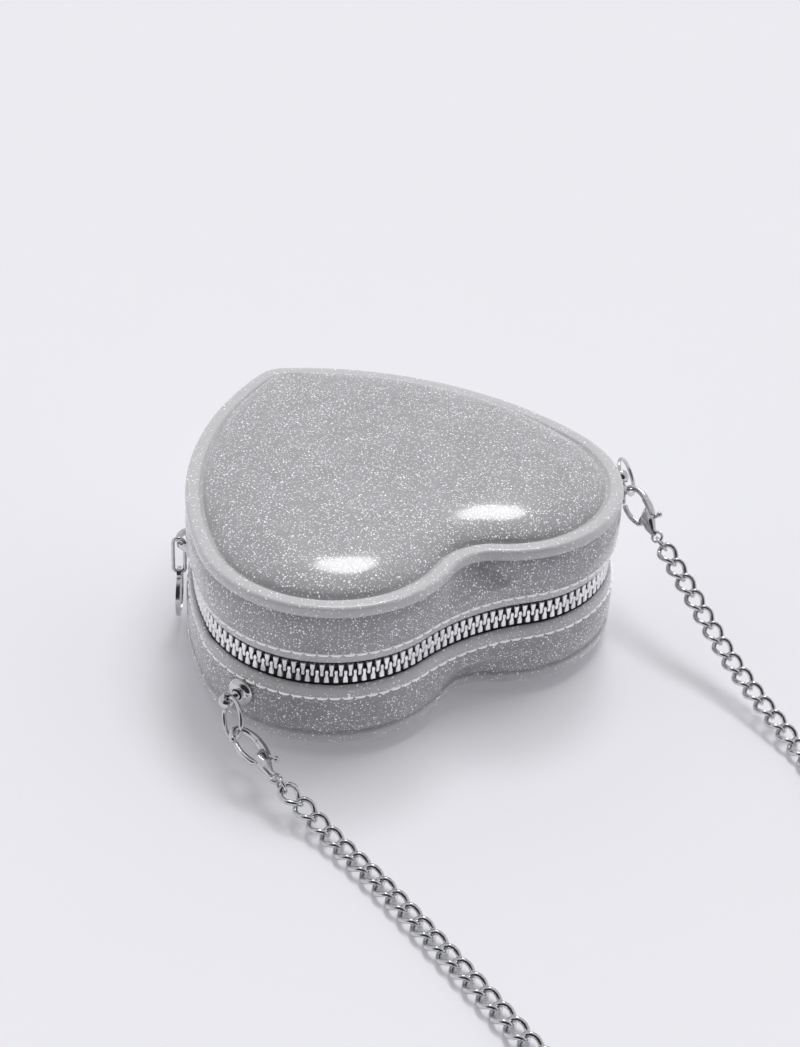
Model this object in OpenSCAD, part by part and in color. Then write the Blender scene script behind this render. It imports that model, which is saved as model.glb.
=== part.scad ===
// Heart shaped purse: two moulded half shells, one turned over on the other, a zipper
// between them and a chain strap with a lobster claw on the stud of each half.
// Millimetres, +Z up. The origin is the middle of the flat face that the purse rests on,
// and the cleft of the heart points to +Y.

/* [Heart outline] */
// Distance of each lobe's centre from the middle line
lobe_x = 27.5; // [25:0.5:30]
// Radius of the two lobes
lobe_r = 37.5; // [35:0.5:40]
// Radius of the rounded tip
tip_r = 10.5; // [9.5:0.5:12.5]
// How far the tip's centre lies below the lobe centres
tip_drop = 74; // [70:1:78]
// Radius of the long curves from the lobes to the tip
side_r = 106; // [102:1:112]
// Radius of the cleft between the lobes, on rims and domes
rim_cleft_r = 14; // [11:1:18]
// Radius of the shallower cleft of the side walls
wall_cleft_r = 60; // [45:1:70]

/* [Half shells] */
// Height of each half, from the zip plane to its flat crown
half_h = 28; // [26:0.5:32]
// Thickness of the moulded shell
shell_t = 2; // [1.6:0.1:2.4]
// Distance of each hem from the zip plane
hem_h = 5; // [5:0.1:6]
// Thickness of the hem
hem_t = 1.4; // [1.2:0.1:1.8]
// Width of the band inside the hem that the zipper tape is sewn to
hem_band = 5.5; // [4.5:0.5:6]
// Radius of the wall's outward swell
swell_r = 21; // [19:1:26]
// Distance of the widest line of the wall from the zip plane
swell_h = 11.5; // [10.5:0.5:12.5]
// Distance of the rim's underside from the zip plane
rim_h = 19.8; // [19:0.1:21]
// Width of the raised rim
rim_w = 4.5; // [3.5:0.5:5.5]
// Thickness of the raised rim
rim_t = 3.4; // [2.8:0.1:4]
// Rounding of the rim's edges
rim_round = 0.9; // [0.5:0.1:1.2]
// Width of the groove between rim and dome
groove_w = 2; // [1.5:0.5:3]
// Depth of that groove below the rim's top
groove_depth = 2.2; // [1.6:0.1:2.6]
// Inset of the flat crown from the outline
crown_inset = 28; // [26:1:31]
// Thickness of the fabric lining
lining_t = 0.6; // [0.4:0.1:0.8]

/* [Zipper] */
// Distance from one tooth to the next in a row
tooth_pitch = 2.5; // [2.4:0.1:3]
// Depth of a tooth, through the tape
tooth_depth = 2.6; // [2.2:0.1:3]
// Height of a tooth's root above the zip plane
tooth_root_h = 3.2; // [2.9:0.1:3.4]
// Reach of a tooth's head across the zip plane
tooth_reach = 1.1; // [0.9:0.1:1.3]
// Width of a tooth at its root
root_w = 1.6; // [1.4:0.1:1.8]
// Width of a tooth's neck
neck_w = 0.8; // [0.7:0.05:0.9]
// Width of a tooth's head
head_w = 1.1; // [1:0.05:1.2]
// Thickness of the woven tape
tape_t = 0.6; // [0.4:0.1:0.8]
// Distance of the tape's edge from the zip plane
tape_edge_h = 1.4; // [1.4:0.1:1.8]
// Place of the slider on the side curve, as a compass angle
slider_angle = -32; // [-34:1:-28]
// Length of the slider
slider_l = 11; // [10:0.5:12]
// Width of the slider over both flanges, at its front
slider_w = 8.8; // [8.6:0.1:9]
// Thickness of the slider's wings
wing_t = 1; // [0.8:0.1:1.2]
// Rise of the slider's crown above the outer wing
crown_rise = 3.8; // [3.7:0.1:4]

/* [Pull] */
// Wire of the pull's long ring
pull_wire_d = 1.1; // [0.9:0.1:1.2]
// Length of the pull's long ring, between wire centres
pull_ring_l = 12; // [11:0.5:13]
// Diameter of the pull's disc
disc_d = 14; // [12:0.5:14.5]
// Thickness of the pull's disc
disc_t = 1.2; // [1:0.1:1.4]

/* [Strap studs and rings] */
// Compass angle of the lower half's stud about its lobe
lower_stud_angle = 21; // [15:1:27]
// Compass angle of the upper half's stud about its lobe
upper_stud_angle = 173.5; // [168:0.5:178]
// Diameter of the stud's domed flange
flange_d = 8.5; // [7.5:0.5:9]
// Height of the domed flange
flange_h = 1.7; // [1.4:0.1:2]
// Diameter of the stud's ball
ball_d = 4.8; // [4.6:0.1:5.2]
// Distance of the ball's centre from the wall
ball_out = 6.3; // [6:0.1:6.8]
// Bore through the ball for the strap ring
eye_d = 2.4; // [2.4:0.1:2.6]
// Wire of the strap rings
ring_wire_d = 1.2; // [1:0.1:1.2]
// Radius of the strap rings, at the wire's centre
ring_r = 5.65; // [5.4:0.05:6]

/* [Lobster claws] */
// Length of the claw from the end of its opening to the pivot's far side
claw_l = 15.5; // [14:0.5:16]
// Width of the claw at its widest
claw_w = 8.4; // [8:0.2:9]
// Thickness of the claw
claw_t = 2.8; // [2.6:0.1:3]
// Width of the hook's bow
bow_w = 1.5; // [1.3:0.1:1.7]
// Thickness of the lever
lever_t = 1.2; // [1:0.1:1.3]
// Diameter of the lever's pivot pin
pin_d = 1; // [0.8:0.1:1.1]

/* [Chain] */
// Distance from one link to the next
link_pitch = 5.5; // [5.4:0.05:5.6]
// Length of a link, outside
link_l = 8.3; // [8.2:0.1:8.6]
// Width of a link before its ends are twisted, outside
link_w = 6.8; // [6.6:0.1:7]
// Wire of the links
link_wire_d = 1.2; // [1.1:0.05:1.25]
// Diameter of the room that the chain takes up
chain_d = 7; // [6.8:0.1:7.4]

/* [Hidden] */
$fn = 96;

// Overrun of cuts, and the small gaps between pieces
over = 1;
fit = 0.05;
seat = 0.1;
gap = 0.3;

// Centres of the outline's arcs. The box of the outline is centred on the origin.
outline_shift = (tip_drop + tip_r - lobe_r) / 2;
lobe_c = [lobe_x, outline_shift];
tip_c = [0, outline_shift - tip_drop];
side_c = circle_meeting(lobe_c, side_r - lobe_r, tip_c, side_r - tip_r);
side_top_angle = compass(side_c, lobe_c);
side_tip_angle = compass(side_c, tip_c);

function compass(from, to) = atan2(to.y - from.y, to.x - from.x);
function unit(v) = v / norm(v);
function flat(a) = [cos(a), sin(a), 0];

// Where a circle about p meets one about q, to the right of the way from p to q
function circle_meeting(p, p_r, q, q_r) =
    let (
        span = norm(q - p),
        ahead = (p_r * p_r - q_r * q_r + span * span) / (2 * span),
        aside = sqrt(p_r * p_r - ahead * ahead),
        way = (q - p) / span
    )
    p + ahead * way + aside * [way.y, -way.x];

// Centre of the cleft's arc, and the compass angle where a lobe ends at it
function cleft_c(cleft_r) = [0, outline_shift + sqrt(pow(lobe_r + cleft_r, 2) - lobe_x * lobe_x)];
function lobe_end_angle(cleft_r) = compass(lobe_c, cleft_c(cleft_r));

// Heights of one half, measured from the zip plane
rim_top_h = rim_h + rim_t;
groove_h = rim_top_h - groove_depth;
dome_inset = rim_w + groove_w;
dome_rise = half_h - groove_h;
dome_run = crown_inset - dome_inset;
dome_r = (dome_run * dome_run + dome_rise * dome_rise) / (2 * dome_rise);

// Inset of the wall's outer face at height h, and of its inner face
function wall_inset(h) = swell_r - sqrt(swell_r * swell_r - pow(h - swell_h, 2));
hem_inset = wall_inset(hem_h);
band_inset = hem_inset + hem_t;
tape_inset = band_inset + gap;
wall_top_inset = wall_inset(rim_h);
band_top_h = hem_h + hem_band;
function dome_h(inset) = half_h - dome_r + sqrt(dome_r * dome_r - pow(crown_inset - inset, 2));

// Zipper: the teeth stand on the tape, and a path of five arcs follows it
tooth_inset = tape_inset + tape_t / 2;
tape_reach_h = band_top_h - seat;
top_stop_l = 2.2;
zip_front_angle = slider_angle - (slider_l / 2 + top_stop_l + 2 * gap) / side_r * 180 / PI;
zip_path = [
    [side_c, side_r - tooth_inset, slider_angle, side_top_angle, 1],
    [lobe_c, lobe_r - tooth_inset, side_top_angle, lobe_end_angle(wall_cleft_r), 1],
    [cleft_c(wall_cleft_r), wall_cleft_r + tooth_inset,
        lobe_end_angle(wall_cleft_r) - 180, -lobe_end_angle(wall_cleft_r), -1],
    [flip(lobe_c), lobe_r - tooth_inset, 180 - lobe_end_angle(wall_cleft_r), 180 - side_top_angle, 1],
    [flip(side_c), side_r - tooth_inset, 180 - side_top_angle, 180 - slider_angle, 1]
];
function flip(p) = [-p.x, p.y];
function arc_length(arc) = abs(arc[3] - arc[2]) * PI / 180 * arc[1];
function path_length(arcs, i = 0) = i == len(arcs) ? 0 : arc_length(arcs[i]) + path_length(arcs, i + 1);

// Place and heading of the point that lies a distance s along the zipper
function zip_spot(s, i = 0) =
    s <= arc_length(zip_path[i]) || i == len(zip_path) - 1
    ? let (
        arc = zip_path[i],
        angle = arc[2] + (arc[3] - arc[2]) * s / arc_length(arc)
    )
    [arc[0] + arc[1] * [cos(angle), sin(angle)], arc[4] > 0 ? angle : angle + 180]
    : zip_spot(s - arc_length(zip_path[i]), i + 1);

side_run = arc_length(zip_path[0]);
row_teeth = floor((path_length(zip_path) - tooth_pitch) / tooth_pitch);
side_row_teeth = floor(side_run / tooth_pitch);
stop_depth = tooth_depth + 2 * seat;
first_tooth = tooth_pitch / 2;

// Slider: wings on both faces of the teeth, flanges that fold in beside them
outer_wing_x = tooth_depth / 2 - tooth_inset + gap;
inner_wing_x = -tooth_depth / 2 - tooth_inset - gap;
flange_w = 0.8;
wing_front_cut = 1;
wing_rear_cut = 2;
post_l = 2.4;
post_w = 2 * (tape_edge_h - gap);
crown_w = 1.6;
crown_foot = 1.3;
crown_open_rise = 2.7;
pull_y_share = 0.2;
pull_y = slider_l * pull_y_share;
crown_arch_r = arch_r(slider_l / 2, crown_rise);
crown_open_r = arch_r(slider_l / 2 - crown_foot, crown_open_rise);
function arch_r(half_span, rise) = (half_span * half_span + rise * rise) / (2 * rise);
function arch_rise(r, rise, y) = rise - r + sqrt(r * r - y * y);
crown_bar_in = outer_wing_x + wing_t + arch_rise(crown_open_r, crown_open_rise, pull_y);
crown_bar_out = outer_wing_x + wing_t + arch_rise(crown_arch_r, crown_rise, pull_y);
crown_bar_x = (crown_bar_in + crown_bar_out) / 2;

// Pull: the long ring's half width clears the crown's bar at every angle
pull_ring_r = norm([crown_bar_out - crown_bar_in, crown_w]) / 2 + pull_wire_d / 2 + seat + fit;
pull_top_h = norm([crown_bar_out - crown_bar_in, crown_w]) / 2 + pull_wire_d / 2 + 2 * seat;
pull_foot_h = pull_top_h - pull_ring_l;
disc_hole_r = pull_wire_d;
disc_ear_r = 2.2;
disc_neck_share = 1.8;
disc_hole_h = pull_foot_h - (disc_hole_r - pull_wire_d / 2 - seat);
disc_centre_h = disc_hole_h - disc_d / 2 - seat;

// Studs: height from the zip plane, turn of the ball's bore about the stud, lean of the ring,
// the angle round the ring where the claw holds it, the side of the claw that faces up and the
// turn of the jump ring in the claw's eye
lower_stud_h = -swell_h;
upper_stud_lift = 1.2;
upper_stud_h = swell_h + upper_stud_lift;
lower_bore_turn = -24;
upper_bore_turn = -42;
lower_ring_lean = 30;
upper_ring_lean = 45;
lower_hold = 168;
upper_hold = 288;
lower_tail = [68.5, 66.5, 10.2];
upper_tail = [-72.6, 46.3, 29.2];
lower_claw_side = -1;
upper_claw_side = 1;
lower_jump_turn = 18;
upper_jump_turn = 0;
lower_stud = stud(lobe_c, lower_stud_angle, lower_stud_h,
    lower_bore_turn, lower_ring_lean, lower_hold, lower_tail, lower_claw_side);
upper_stud = stud(flip(lobe_c), upper_stud_angle, upper_stud_h,
    upper_bore_turn, upper_ring_lean, upper_hold, upper_tail, upper_claw_side);
stud_post_r = 1.5;
stud_neck_r = 1.3;
stud_pad_r = 3.8;
stud_pad_rise = 1;
stud_pad_inset = band_inset + stud_pad_rise;
washer_r = 3.1;
washer_t = 0.5;
screw_r = 0.9;
screw_head_r = 2.2;
screw_head_t = 1.4;
screw_l = 4.4;
screw_slot_w = 0.6;

// A stud's frame: ball centre, outward axis, way from ball to ring centre, bore axis,
// ring normal, and the point and heading where the claw holds the ring
function stud(centre, angle, h, turn, lean, hold, tail, side) =
    let (
        axis = flat(angle),
        across = cos(turn) * flat(angle + 90) + sin(turn) * [0, 0, 1],
        bore = cos(turn) * [0, 0, 1] - sin(turn) * flat(angle + 90),
        wall = [centre.x, centre.y, half_h + h] + lobe_r * axis,
        ball = wall + ball_out * axis,
        way = cos(lean) * across + sin(lean) * axis,
        grip = ball + ring_r * way + ring_r * (sin(hold) * bore - cos(hold) * way)
    )
    [wall, axis, ball, bore, way, cross(way, bore), grip,
        unit(tail - grip), side * (sin(hold) * way + cos(hold) * bore)];

// Claw, along its own x from the hold on the ring: bow, mouth, pivot and tail eye
pivot_x_share = 0.72;
pivot_y_share = 0.1;
claw_pivot = [claw_l * pivot_x_share, claw_w * pivot_y_share];
hold_gap = 0.5;
claw_hold_x = -(ring_wire_d / 2 + bow_w / 2 + hold_gap);
claw_steps = 24;
claw_fullness_share = 0.8;
claw_eye_r = 1.9;
claw_eye_hole_r = 1.1;
claw_eye_t = 1.2;
claw_eye_x = claw_l + claw_eye_r - gap;
mouth_from_share = 0.12;
mouth_to_share = 0.5;
opening_end_share = 0.58;
mouth_from = claw_l * mouth_from_share;
mouth_to = claw_l * mouth_to_share;
opening_end = claw_l * opening_end_share;
lever_hub_r = 1.5;
lever_arm_w = 1.3;
lever_nub_r = 0.8;
lever_nub = [claw_pivot.x + lever_nub_r / 2, claw_w / 2 + lever_nub_r];
jump_ring_r = 2.3;
jump_wire_d = 0.9;
jump_x = claw_eye_x + claw_eye_hole_r - jump_wire_d / 2 - gap + jump_ring_r;
chain_start_x = jump_x + jump_ring_r - jump_wire_d / 2 - link_wire_d / 2 - hold_gap;

// Half width of an egg at a share of its length, and of the claw at a place along it
claw_from = claw_hold_x - bow_w / 2;
claw_to = claw_l + bow_w / 2;
function claw_half(share, w) = w / 2 * sin(180 * pow(share, claw_fullness_share));
function claw_edge(x) = claw_half((x - claw_from) / (claw_to - claw_from), claw_w);

// Chain: routes of the two runs that are in view, by hand, down to where they leave the view
link_floor_h = 2;
lower_points = [
    [65.5, 74.2, 6.2], [63.8, 80.8, 3.7], [62.2, 90.7, 2.2], [60.4, 105, 2],
    [59.1, 125, 2], [58.1, 145.2, 2], [57, 172, 2]
];
upper_points = [
    [-72, 64.4, 20.8], [-72, 75.9, 14.4], [-71.6, 87.4, 9.5], [-71, 101.6, 5.5], [-70, 120, 2]
];
link_roll = -50;
link_sides = 6;
link_rings = 10;

// Stowed length: a flat double spiral just outside the view, and the ways into it
coil_c = [-78, 201.5];
coil_pitch = 8;
coil_inner_r = 22;
coil_start = 280;
coil_a_turn = 580;
coil_b_turn = 500;
coil_step = 15;
tube_sides = 6;
tube_h = chain_d / 2;
lower_way_in = [[57, 172], [54, 183], [47, 193], [35, 203], [10, 215.5], [-15, 223.5]];
upper_way_in = [[-70, 120], [-67, 131], [-60, 145], [-51, 161]];

smooth_steps = 4;
function chain_start(stud) = stud[6] + chain_start_x * stud[7];
lower_route = smooth(concat([chain_start(lower_stud)], lower_points));
upper_route = smooth(concat([chain_start(upper_stud)], upper_points));

// A curve through the points, each stretch cut into equal shares
function smooth(p) =
    let (n = len(p))
    concat(
        [for (i = [0:n - 2], k = [0:smooth_steps - 1])
            let (
                t = k / smooth_steps,
                a = p[max(i - 1, 0)],
                b = p[i],
                c = p[i + 1],
                d = p[min(i + 2, n - 1)]
            )
            (2 * b + (c - a) * t + (2 * a - 5 * b + 4 * c - d) * t * t
                + (3 * b - a - 3 * c + d) * t * t * t) / 2],
        [p[n - 1]]
    );
function route_length(p, i = 0) = i >= len(p) - 1 ? 0 : norm(p[i + 1] - p[i]) + route_length(p, i + 1);
function route_spot(p, s, i = 0) =
    let (stretch = norm(p[i + 1] - p[i]))
    s <= stretch || i == len(p) - 2
    ? p[i] + (p[i + 1] - p[i]) * s / stretch
    : route_spot(p, s - stretch, i + 1);

// The stowed length's route: in by arm a, round an S at the middle, out by arm b
function coil_spot(turn, from) =
    coil_c + (coil_inner_r + coil_pitch * turn / 180) * [cos(from - turn), sin(from - turn)];
coil_arm_a = [for (t = [coil_a_turn:-coil_step:0]) coil_spot(t, coil_start)];
coil_arm_b = [for (t = [coil_step:coil_step:coil_b_turn]) coil_spot(t, coil_start + 180)];
coil_middle = concat(
    [for (t = [2 * coil_step:2 * coil_step:180])
        coil_c + coil_inner_r / 2 * (heading(coil_start) + heading(coil_start + t))],
    [for (t = [2 * coil_step:2 * coil_step:180])
        coil_c + coil_inner_r / 2 * (heading(coil_start + 180) + heading(coil_start - t))]
);
function heading(a) = [cos(a), sin(a)];
function reversed(p) = [for (i = [len(p) - 1:-1:0]) p[i]];
stowed_route = concat(
    smooth(concat(lower_way_in, [coil_arm_a[0]])),
    [for (i = [1:len(coil_arm_a) - 1]) coil_arm_a[i]],
    coil_middle,
    coil_arm_b,
    reversed(smooth(upper_way_in))
);

// Least gap between stretches of the stowed length that aren't next to each other
apart_steps = 8;
least_gap = min([for (i = [0:len(stowed_route) - 1], j = [i + apart_steps:len(stowed_route) - 1])
    norm(stowed_route[i] - stowed_route[j])]) - chain_d;
echo(stowed_length = route_length(stowed_route), least_gap = least_gap);
echo(strap_length = route_length(stowed_route) + route_length(lower_route) + route_length(upper_route));

// Moves a child so that its x runs along a direction and its z lies as near up as it can
module lay(at, along, up) {
    z = unit(up - (up * along) * along);
    y = cross(z, along);
    multmatrix([
        [along.x, y.x, z.x, at.x],
        [along.y, y.y, z.y, at.y],
        [along.z, y.z, z.z, at.z],
        [0, 0, 0, 1]
    ]) children();
}

// The upper half stands on the zip plane, and the lower half is the same one turned over
module upper_place() { translate([0, 0, half_h]) children(); }
module lower_place() { translate([0, 0, half_h]) rotate([0, 180, 0]) children(); }

// Sweeps a profile along one arc. The profile's x is its inset from the outline.
module sweep_arc(centre, r, from, to) {
    translate(centre) rotate([0, 0, from]) rotate_extrude(angle = to - from)
        translate([r, 0]) mirror([1, 0]) children();
}

// The heart's outline, drawn in by an inset
module heart(inset, cleft_r) {
    difference() {
        union() {
            for (side = [0, 1]) mirror([side, 0]) translate(lobe_c) circle(lobe_r - inset);
            if (tip_r > inset) translate(tip_c) circle(tip_r - inset);
            intersection() {
                polygon([
                    side_c + 2 * side_r * heading(side_top_angle),
                    side_c + 2 * side_r * heading(side_tip_angle),
                    tip_c,
                    flip(side_c + 2 * side_r * heading(side_tip_angle)),
                    flip(side_c + 2 * side_r * heading(side_top_angle)),
                    flip(lobe_c), cleft_c(cleft_r), lobe_c
                ]);
                translate(side_c) circle(side_r - inset);
                translate(flip(side_c)) circle(side_r - inset);
            }
        }
        translate(cleft_c(cleft_r)) circle(cleft_r + inset);
    }
}

// The same outline as a ring of points, from the tip up the +X side and down the other.
// Where the inset is deeper than the tip's radius, a small round stays at the tip.
tip_least_r = 1;
tip_steps = 3;
side_steps = 8;
lobe_steps = 12;
cleft_steps = 3;
function arc_points(centre, r, from, to, n) =
    [for (i = [0:n - 1]) centre + r * heading(from + (to - from) * i / n)];
function half_outline(inset, cleft_r) =
    let (
        round_r = max(tip_r - inset, tip_least_r),
        reach = side_r - inset - round_r,
        round_c = [0, side_c.y - sqrt(reach * reach - side_c.x * side_c.x)],
        tip_angle = compass(side_c, round_c),
        end = lobe_end_angle(cleft_r)
    )
    concat(
        arc_points(round_c, round_r, -90, tip_angle, tip_steps),
        arc_points(side_c, side_r - inset, tip_angle, side_top_angle, side_steps),
        arc_points(lobe_c, lobe_r - inset, side_top_angle, end, lobe_steps),
        arc_points(cleft_c(cleft_r), cleft_r + inset, end - 180, -90, cleft_steps),
        [cleft_c(cleft_r) - [0, cleft_r + inset]]
    );
function outline(inset, cleft_r) =
    let (half = half_outline(inset, cleft_r), n = len(half))
    concat(half, [for (i = [n - 2:-1:1]) flip(half[i])]);

// A closed skin through rings of the outline. Each row of the profile is an inset, a height
// above the zip plane and the cleft's radius there, from the inside of the crown to its outside.
module skin(profile) {
    n = 2 * (tip_steps + side_steps + lobe_steps + cleft_steps);
    points = [for (row = profile, p = outline(row[0], row[2])) [p.x, p.y, row[1]]];
    last = (len(profile) - 1) * n;
    polyhedron(points, concat(
        [[for (k = [0:n - 1]) k]],
        side_faces(len(profile), n, false),
        [[for (k = [n - 1:-1:0]) last + k]]
    ));
}

// Profiles of one half
function corner(x, h, r, from, to) =
    [for (i = [0:corner_steps]) [x, h] + r * heading(from + (to - from) * i / corner_steps)];
function at_cleft(rows, cleft_r) = [for (row = rows) [row[0], row[1], cleft_r]];
function dome_rows(drop, from_inset, to_inset, n) =
    [for (i = [0:n])
        let (inset = from_inset + (to_inset - from_inset) * i / n)
        [inset, dome_h(inset) - drop]];
corner_steps = 2;
dome_steps = 6;
lining_dome_steps = 4;
wall_steps = 6;
shoulder_h = rim_h - shell_t;
shell_profile = concat(
    at_cleft(concat(
        dome_rows(0, crown_inset, dome_inset, dome_steps),
        [[rim_w, groove_h]],
        corner(rim_w - rim_round, rim_top_h - rim_round, rim_round, 0, 90),
        corner(rim_round, rim_top_h - rim_round, rim_round, 90, 180),
        corner(rim_round, rim_h + rim_round, rim_round, 180, 270)
    ), rim_cleft_r),
    at_cleft(concat(
        [for (i = [wall_steps:-1:0])
            let (h = hem_h + (rim_h - hem_h) * i / wall_steps)
            [wall_inset(h), h]],
        [[band_inset, hem_h], [band_inset, band_top_h], [wall_top_inset + shell_t, shoulder_h]]
    ), wall_cleft_r),
    at_cleft(concat(
        [[dome_inset + shell_t / 2, shoulder_h]],
        dome_rows(shell_t, dome_inset + shell_t, crown_inset, lining_dome_steps)
    ), rim_cleft_r)
);

// The wall has a flat pad inside, bored for the stud's post
module shell_with_stud(stud) {
    difference() {
        union() {
            children();
            lay(stud[0], stud[1], [0, 0, 1]) translate([-stud_pad_inset, 0, 0])
                rod(stud_pad_r, stud_pad_inset - hem_t / 2);
        }
        lay(stud[0], stud[1], [0, 0, 1]) translate([-stud_pad_inset - over, 0, 0])
            rod(stud_post_r + fit, stud_pad_inset + 2 * over);
    }
}

// A cylinder that lies along x from the origin
module rod(r, l) { rotate([0, 90, 0]) cylinder(r = r, h = l); }

module lower_shell() {
    color([0.66, 0.66, 0.68]) shell_with_stud(lower_stud) lower_place() skin(reversed(shell_profile));
}
module upper_shell() {
    color([0.72, 0.72, 0.74]) shell_with_stud(upper_stud) upper_place() skin(reversed(shell_profile));
}

// The lining lies on the inside of the shell, from the hem band to the crown
lining_drop = shell_t + 2 * seat;
lining_shoulder_h = shoulder_h - seat;
function lining_rows(depth) = concat(
    at_cleft(concat(
        dome_rows(lining_drop + depth, crown_inset, dome_inset + lining_drop, lining_dome_steps),
        [[dome_inset + lining_drop - shell_t / 2, lining_shoulder_h - depth]]
    ), rim_cleft_r),
    at_cleft([
        [wall_top_inset + shell_t + 2 * seat + depth, lining_shoulder_h - depth],
        [band_inset + 2 * seat + depth, band_top_h]
    ], wall_cleft_r)
);
lining_profile = concat(lining_rows(0), reversed(lining_rows(lining_t)));
module clear_of_pad(stud) {
    difference() {
        children();
        lay(stud[0], stud[1], [0, 0, 1]) translate([-stud_pad_inset - ball_out, 0, 0])
            rod(stud_pad_r + gap, 2 * ball_out);
    }
}
module lower_lining() {
    color([0.3, 0.3, 0.32]) clear_of_pad(lower_stud) lower_place() skin(reversed(lining_profile));
}
module upper_lining() {
    color([0.3, 0.3, 0.32]) clear_of_pad(upper_stud) upper_place() skin(reversed(lining_profile));
}

// The tape of one half: a band from its edge to the top of the hem band
tape_profile = [
    [tape_inset, tape_edge_h], [tape_inset, tape_reach_h],
    [tape_inset + tape_t, tape_reach_h], [tape_inset + tape_t, tape_edge_h]
];
module long_tape() {
    front = flip(side_c) + side_r * heading(180 - zip_front_angle);
    top = side_c + side_r * heading(side_top_angle);
    translate([0, 0, tape_edge_h]) linear_extrude(tape_reach_h - tape_edge_h) difference() {
        heart(tape_inset, wall_cleft_r);
        heart(tape_inset + tape_t, wall_cleft_r);
        polygon([
            flip(side_c) + 2 * (front - flip(side_c)), -3 * [side_r, side_r],
            3 * [side_r, -side_r], side_c + 2 * (top - side_c), lobe_c, flip(side_c)
        ]);
    }
}

// The tapes are notched where the studs' pads stand
module lower_tape() {
    color([0.1, 0.1, 0.1]) clear_of_pad(lower_stud) translate([0, 0, half_h]) mirror([0, 0, 1]) long_tape();
}
module upper_tape() { color([0.1, 0.1, 0.1]) clear_of_pad(upper_stud) upper_place() long_tape(); }
module side_tapes() {
    color([0.1, 0.1, 0.1]) upper_place() for (row = [0, 1]) mirror([0, 0, row])
        sweep_arc(side_c, side_r, zip_front_angle, side_top_angle) polygon(tape_profile);
}

// A tooth: root clamped on the tape, drawn in to a neck, with a wider head
head_round = 0.1;
tooth_profile = [
    [root_w / 2, tooth_root_h], [neck_w / 2, tooth_reach / 2], [head_w / 2, -tooth_reach / 3],
    [head_w / 2 - head_round, -tooth_reach + 2 * head_round], [neck_w / 4, -tooth_reach]
];
module tooth() {
    difference() {
        rotate([90, 0, 90]) linear_extrude(tooth_depth, center = true)
            polygon(concat(tooth_profile, reversed([for (p = tooth_profile) flip(p)])));
        translate([-tape_t / 2 - fit, -root_w, tape_edge_h - fit])
            cube([tape_t + 2 * fit, 2 * root_w, tooth_root_h]);
    }
}
module tooth_row(first, last, shift) {
    for (i = [first:last]) {
        spot = zip_spot(first_tooth + (i + shift) * tooth_pitch);
        translate(spot[0]) rotate([0, 0, spot[1]]) tooth();
    }
}
module upper_teeth() {
    color([0.8, 0.8, 0.82]) upper_place() tooth_row(side_row_teeth, row_teeth - 1, 0);
}
module lower_teeth() {
    color([0.8, 0.8, 0.82]) upper_place() mirror([0, 0, 1])
        tooth_row(side_row_teeth, row_teeth - 2, 1 / 2);
}
module side_teeth() {
    color([0.8, 0.8, 0.82]) upper_place() {
        tooth_row(0, side_row_teeth - 1, 0);
        mirror([0, 0, 1]) tooth_row(0, side_row_teeth - 1, 1 / 2);
    }
}

// Stops at the closed end stand on the tapes in front of the slider
module top_stop() {
    centre_angle = slider_angle - (slider_l / 2 + gap + top_stop_l / 2) / side_r * 180 / PI;
    translate(side_c) rotate([0, 0, centre_angle]) translate([side_r - tooth_inset, 0, 0])
        stop_block(tape_edge_h - gap, tooth_root_h);
}
module stop_block(from_h, to_h) {
    difference() {
        translate([-stop_depth / 2, -top_stop_l / 2, from_h])
            cube([stop_depth, top_stop_l, to_h - from_h]);
        translate([-tape_t / 2 - seat, -top_stop_l, tape_edge_h - fit])
            cube([tape_t + 2 * seat, 2 * top_stop_l, to_h]);
    }
}
module lower_top_stop() {
    color([0.8, 0.8, 0.82]) upper_place() mirror([0, 0, 1]) top_stop();
}
module upper_top_stop() { color([0.8, 0.8, 0.82]) upper_place() top_stop(); }

// The bottom stop holds both tapes together at the other end
module bottom_stop() {
    end_angle = 180 - slider_angle + (top_stop_l / 2 + gap) / side_r * 180 / PI;
    color([0.8, 0.8, 0.82]) upper_place() translate(flip(side_c)) rotate([0, 0, end_angle])
        translate([side_r - tooth_inset, 0, 0]) {
            stop_block(0, tooth_root_h);
            mirror([0, 0, 1]) stop_block(0, tooth_root_h);
        }
}

// The gusset is a folded fabric strip round the tip, where the zipper doesn't reach
gusset_fold_inset = 7.5;
gusset_end_angle = zip_front_angle - gap / side_r * 180 / PI;
gusset_side = [
    [tape_inset, tape_reach_h], [tape_inset, hem_h], [gusset_fold_inset, 0],
    [gusset_fold_inset + tape_t / sin(compass([tape_inset, hem_h], [gusset_fold_inset, 0]) + 90), 0],
    [tape_inset + tape_t, hem_h + tape_t / 2], [tape_inset + tape_t, tape_reach_h]
];
module gusset_profile() {
    for (row = [0, 1]) mirror([0, row]) polygon(gusset_side);
}
module hinge_gusset() {
    color([0.6, 0.6, 0.62]) upper_place() {
        for (side = [0, 1]) mirror([side, 0, 0])
            sweep_arc(side_c, side_r, side_tip_angle, gusset_end_angle) gusset_profile();
        sweep_arc(tip_c, tip_r, -180 - side_tip_angle, side_tip_angle) gusset_profile();
    }
}

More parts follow.
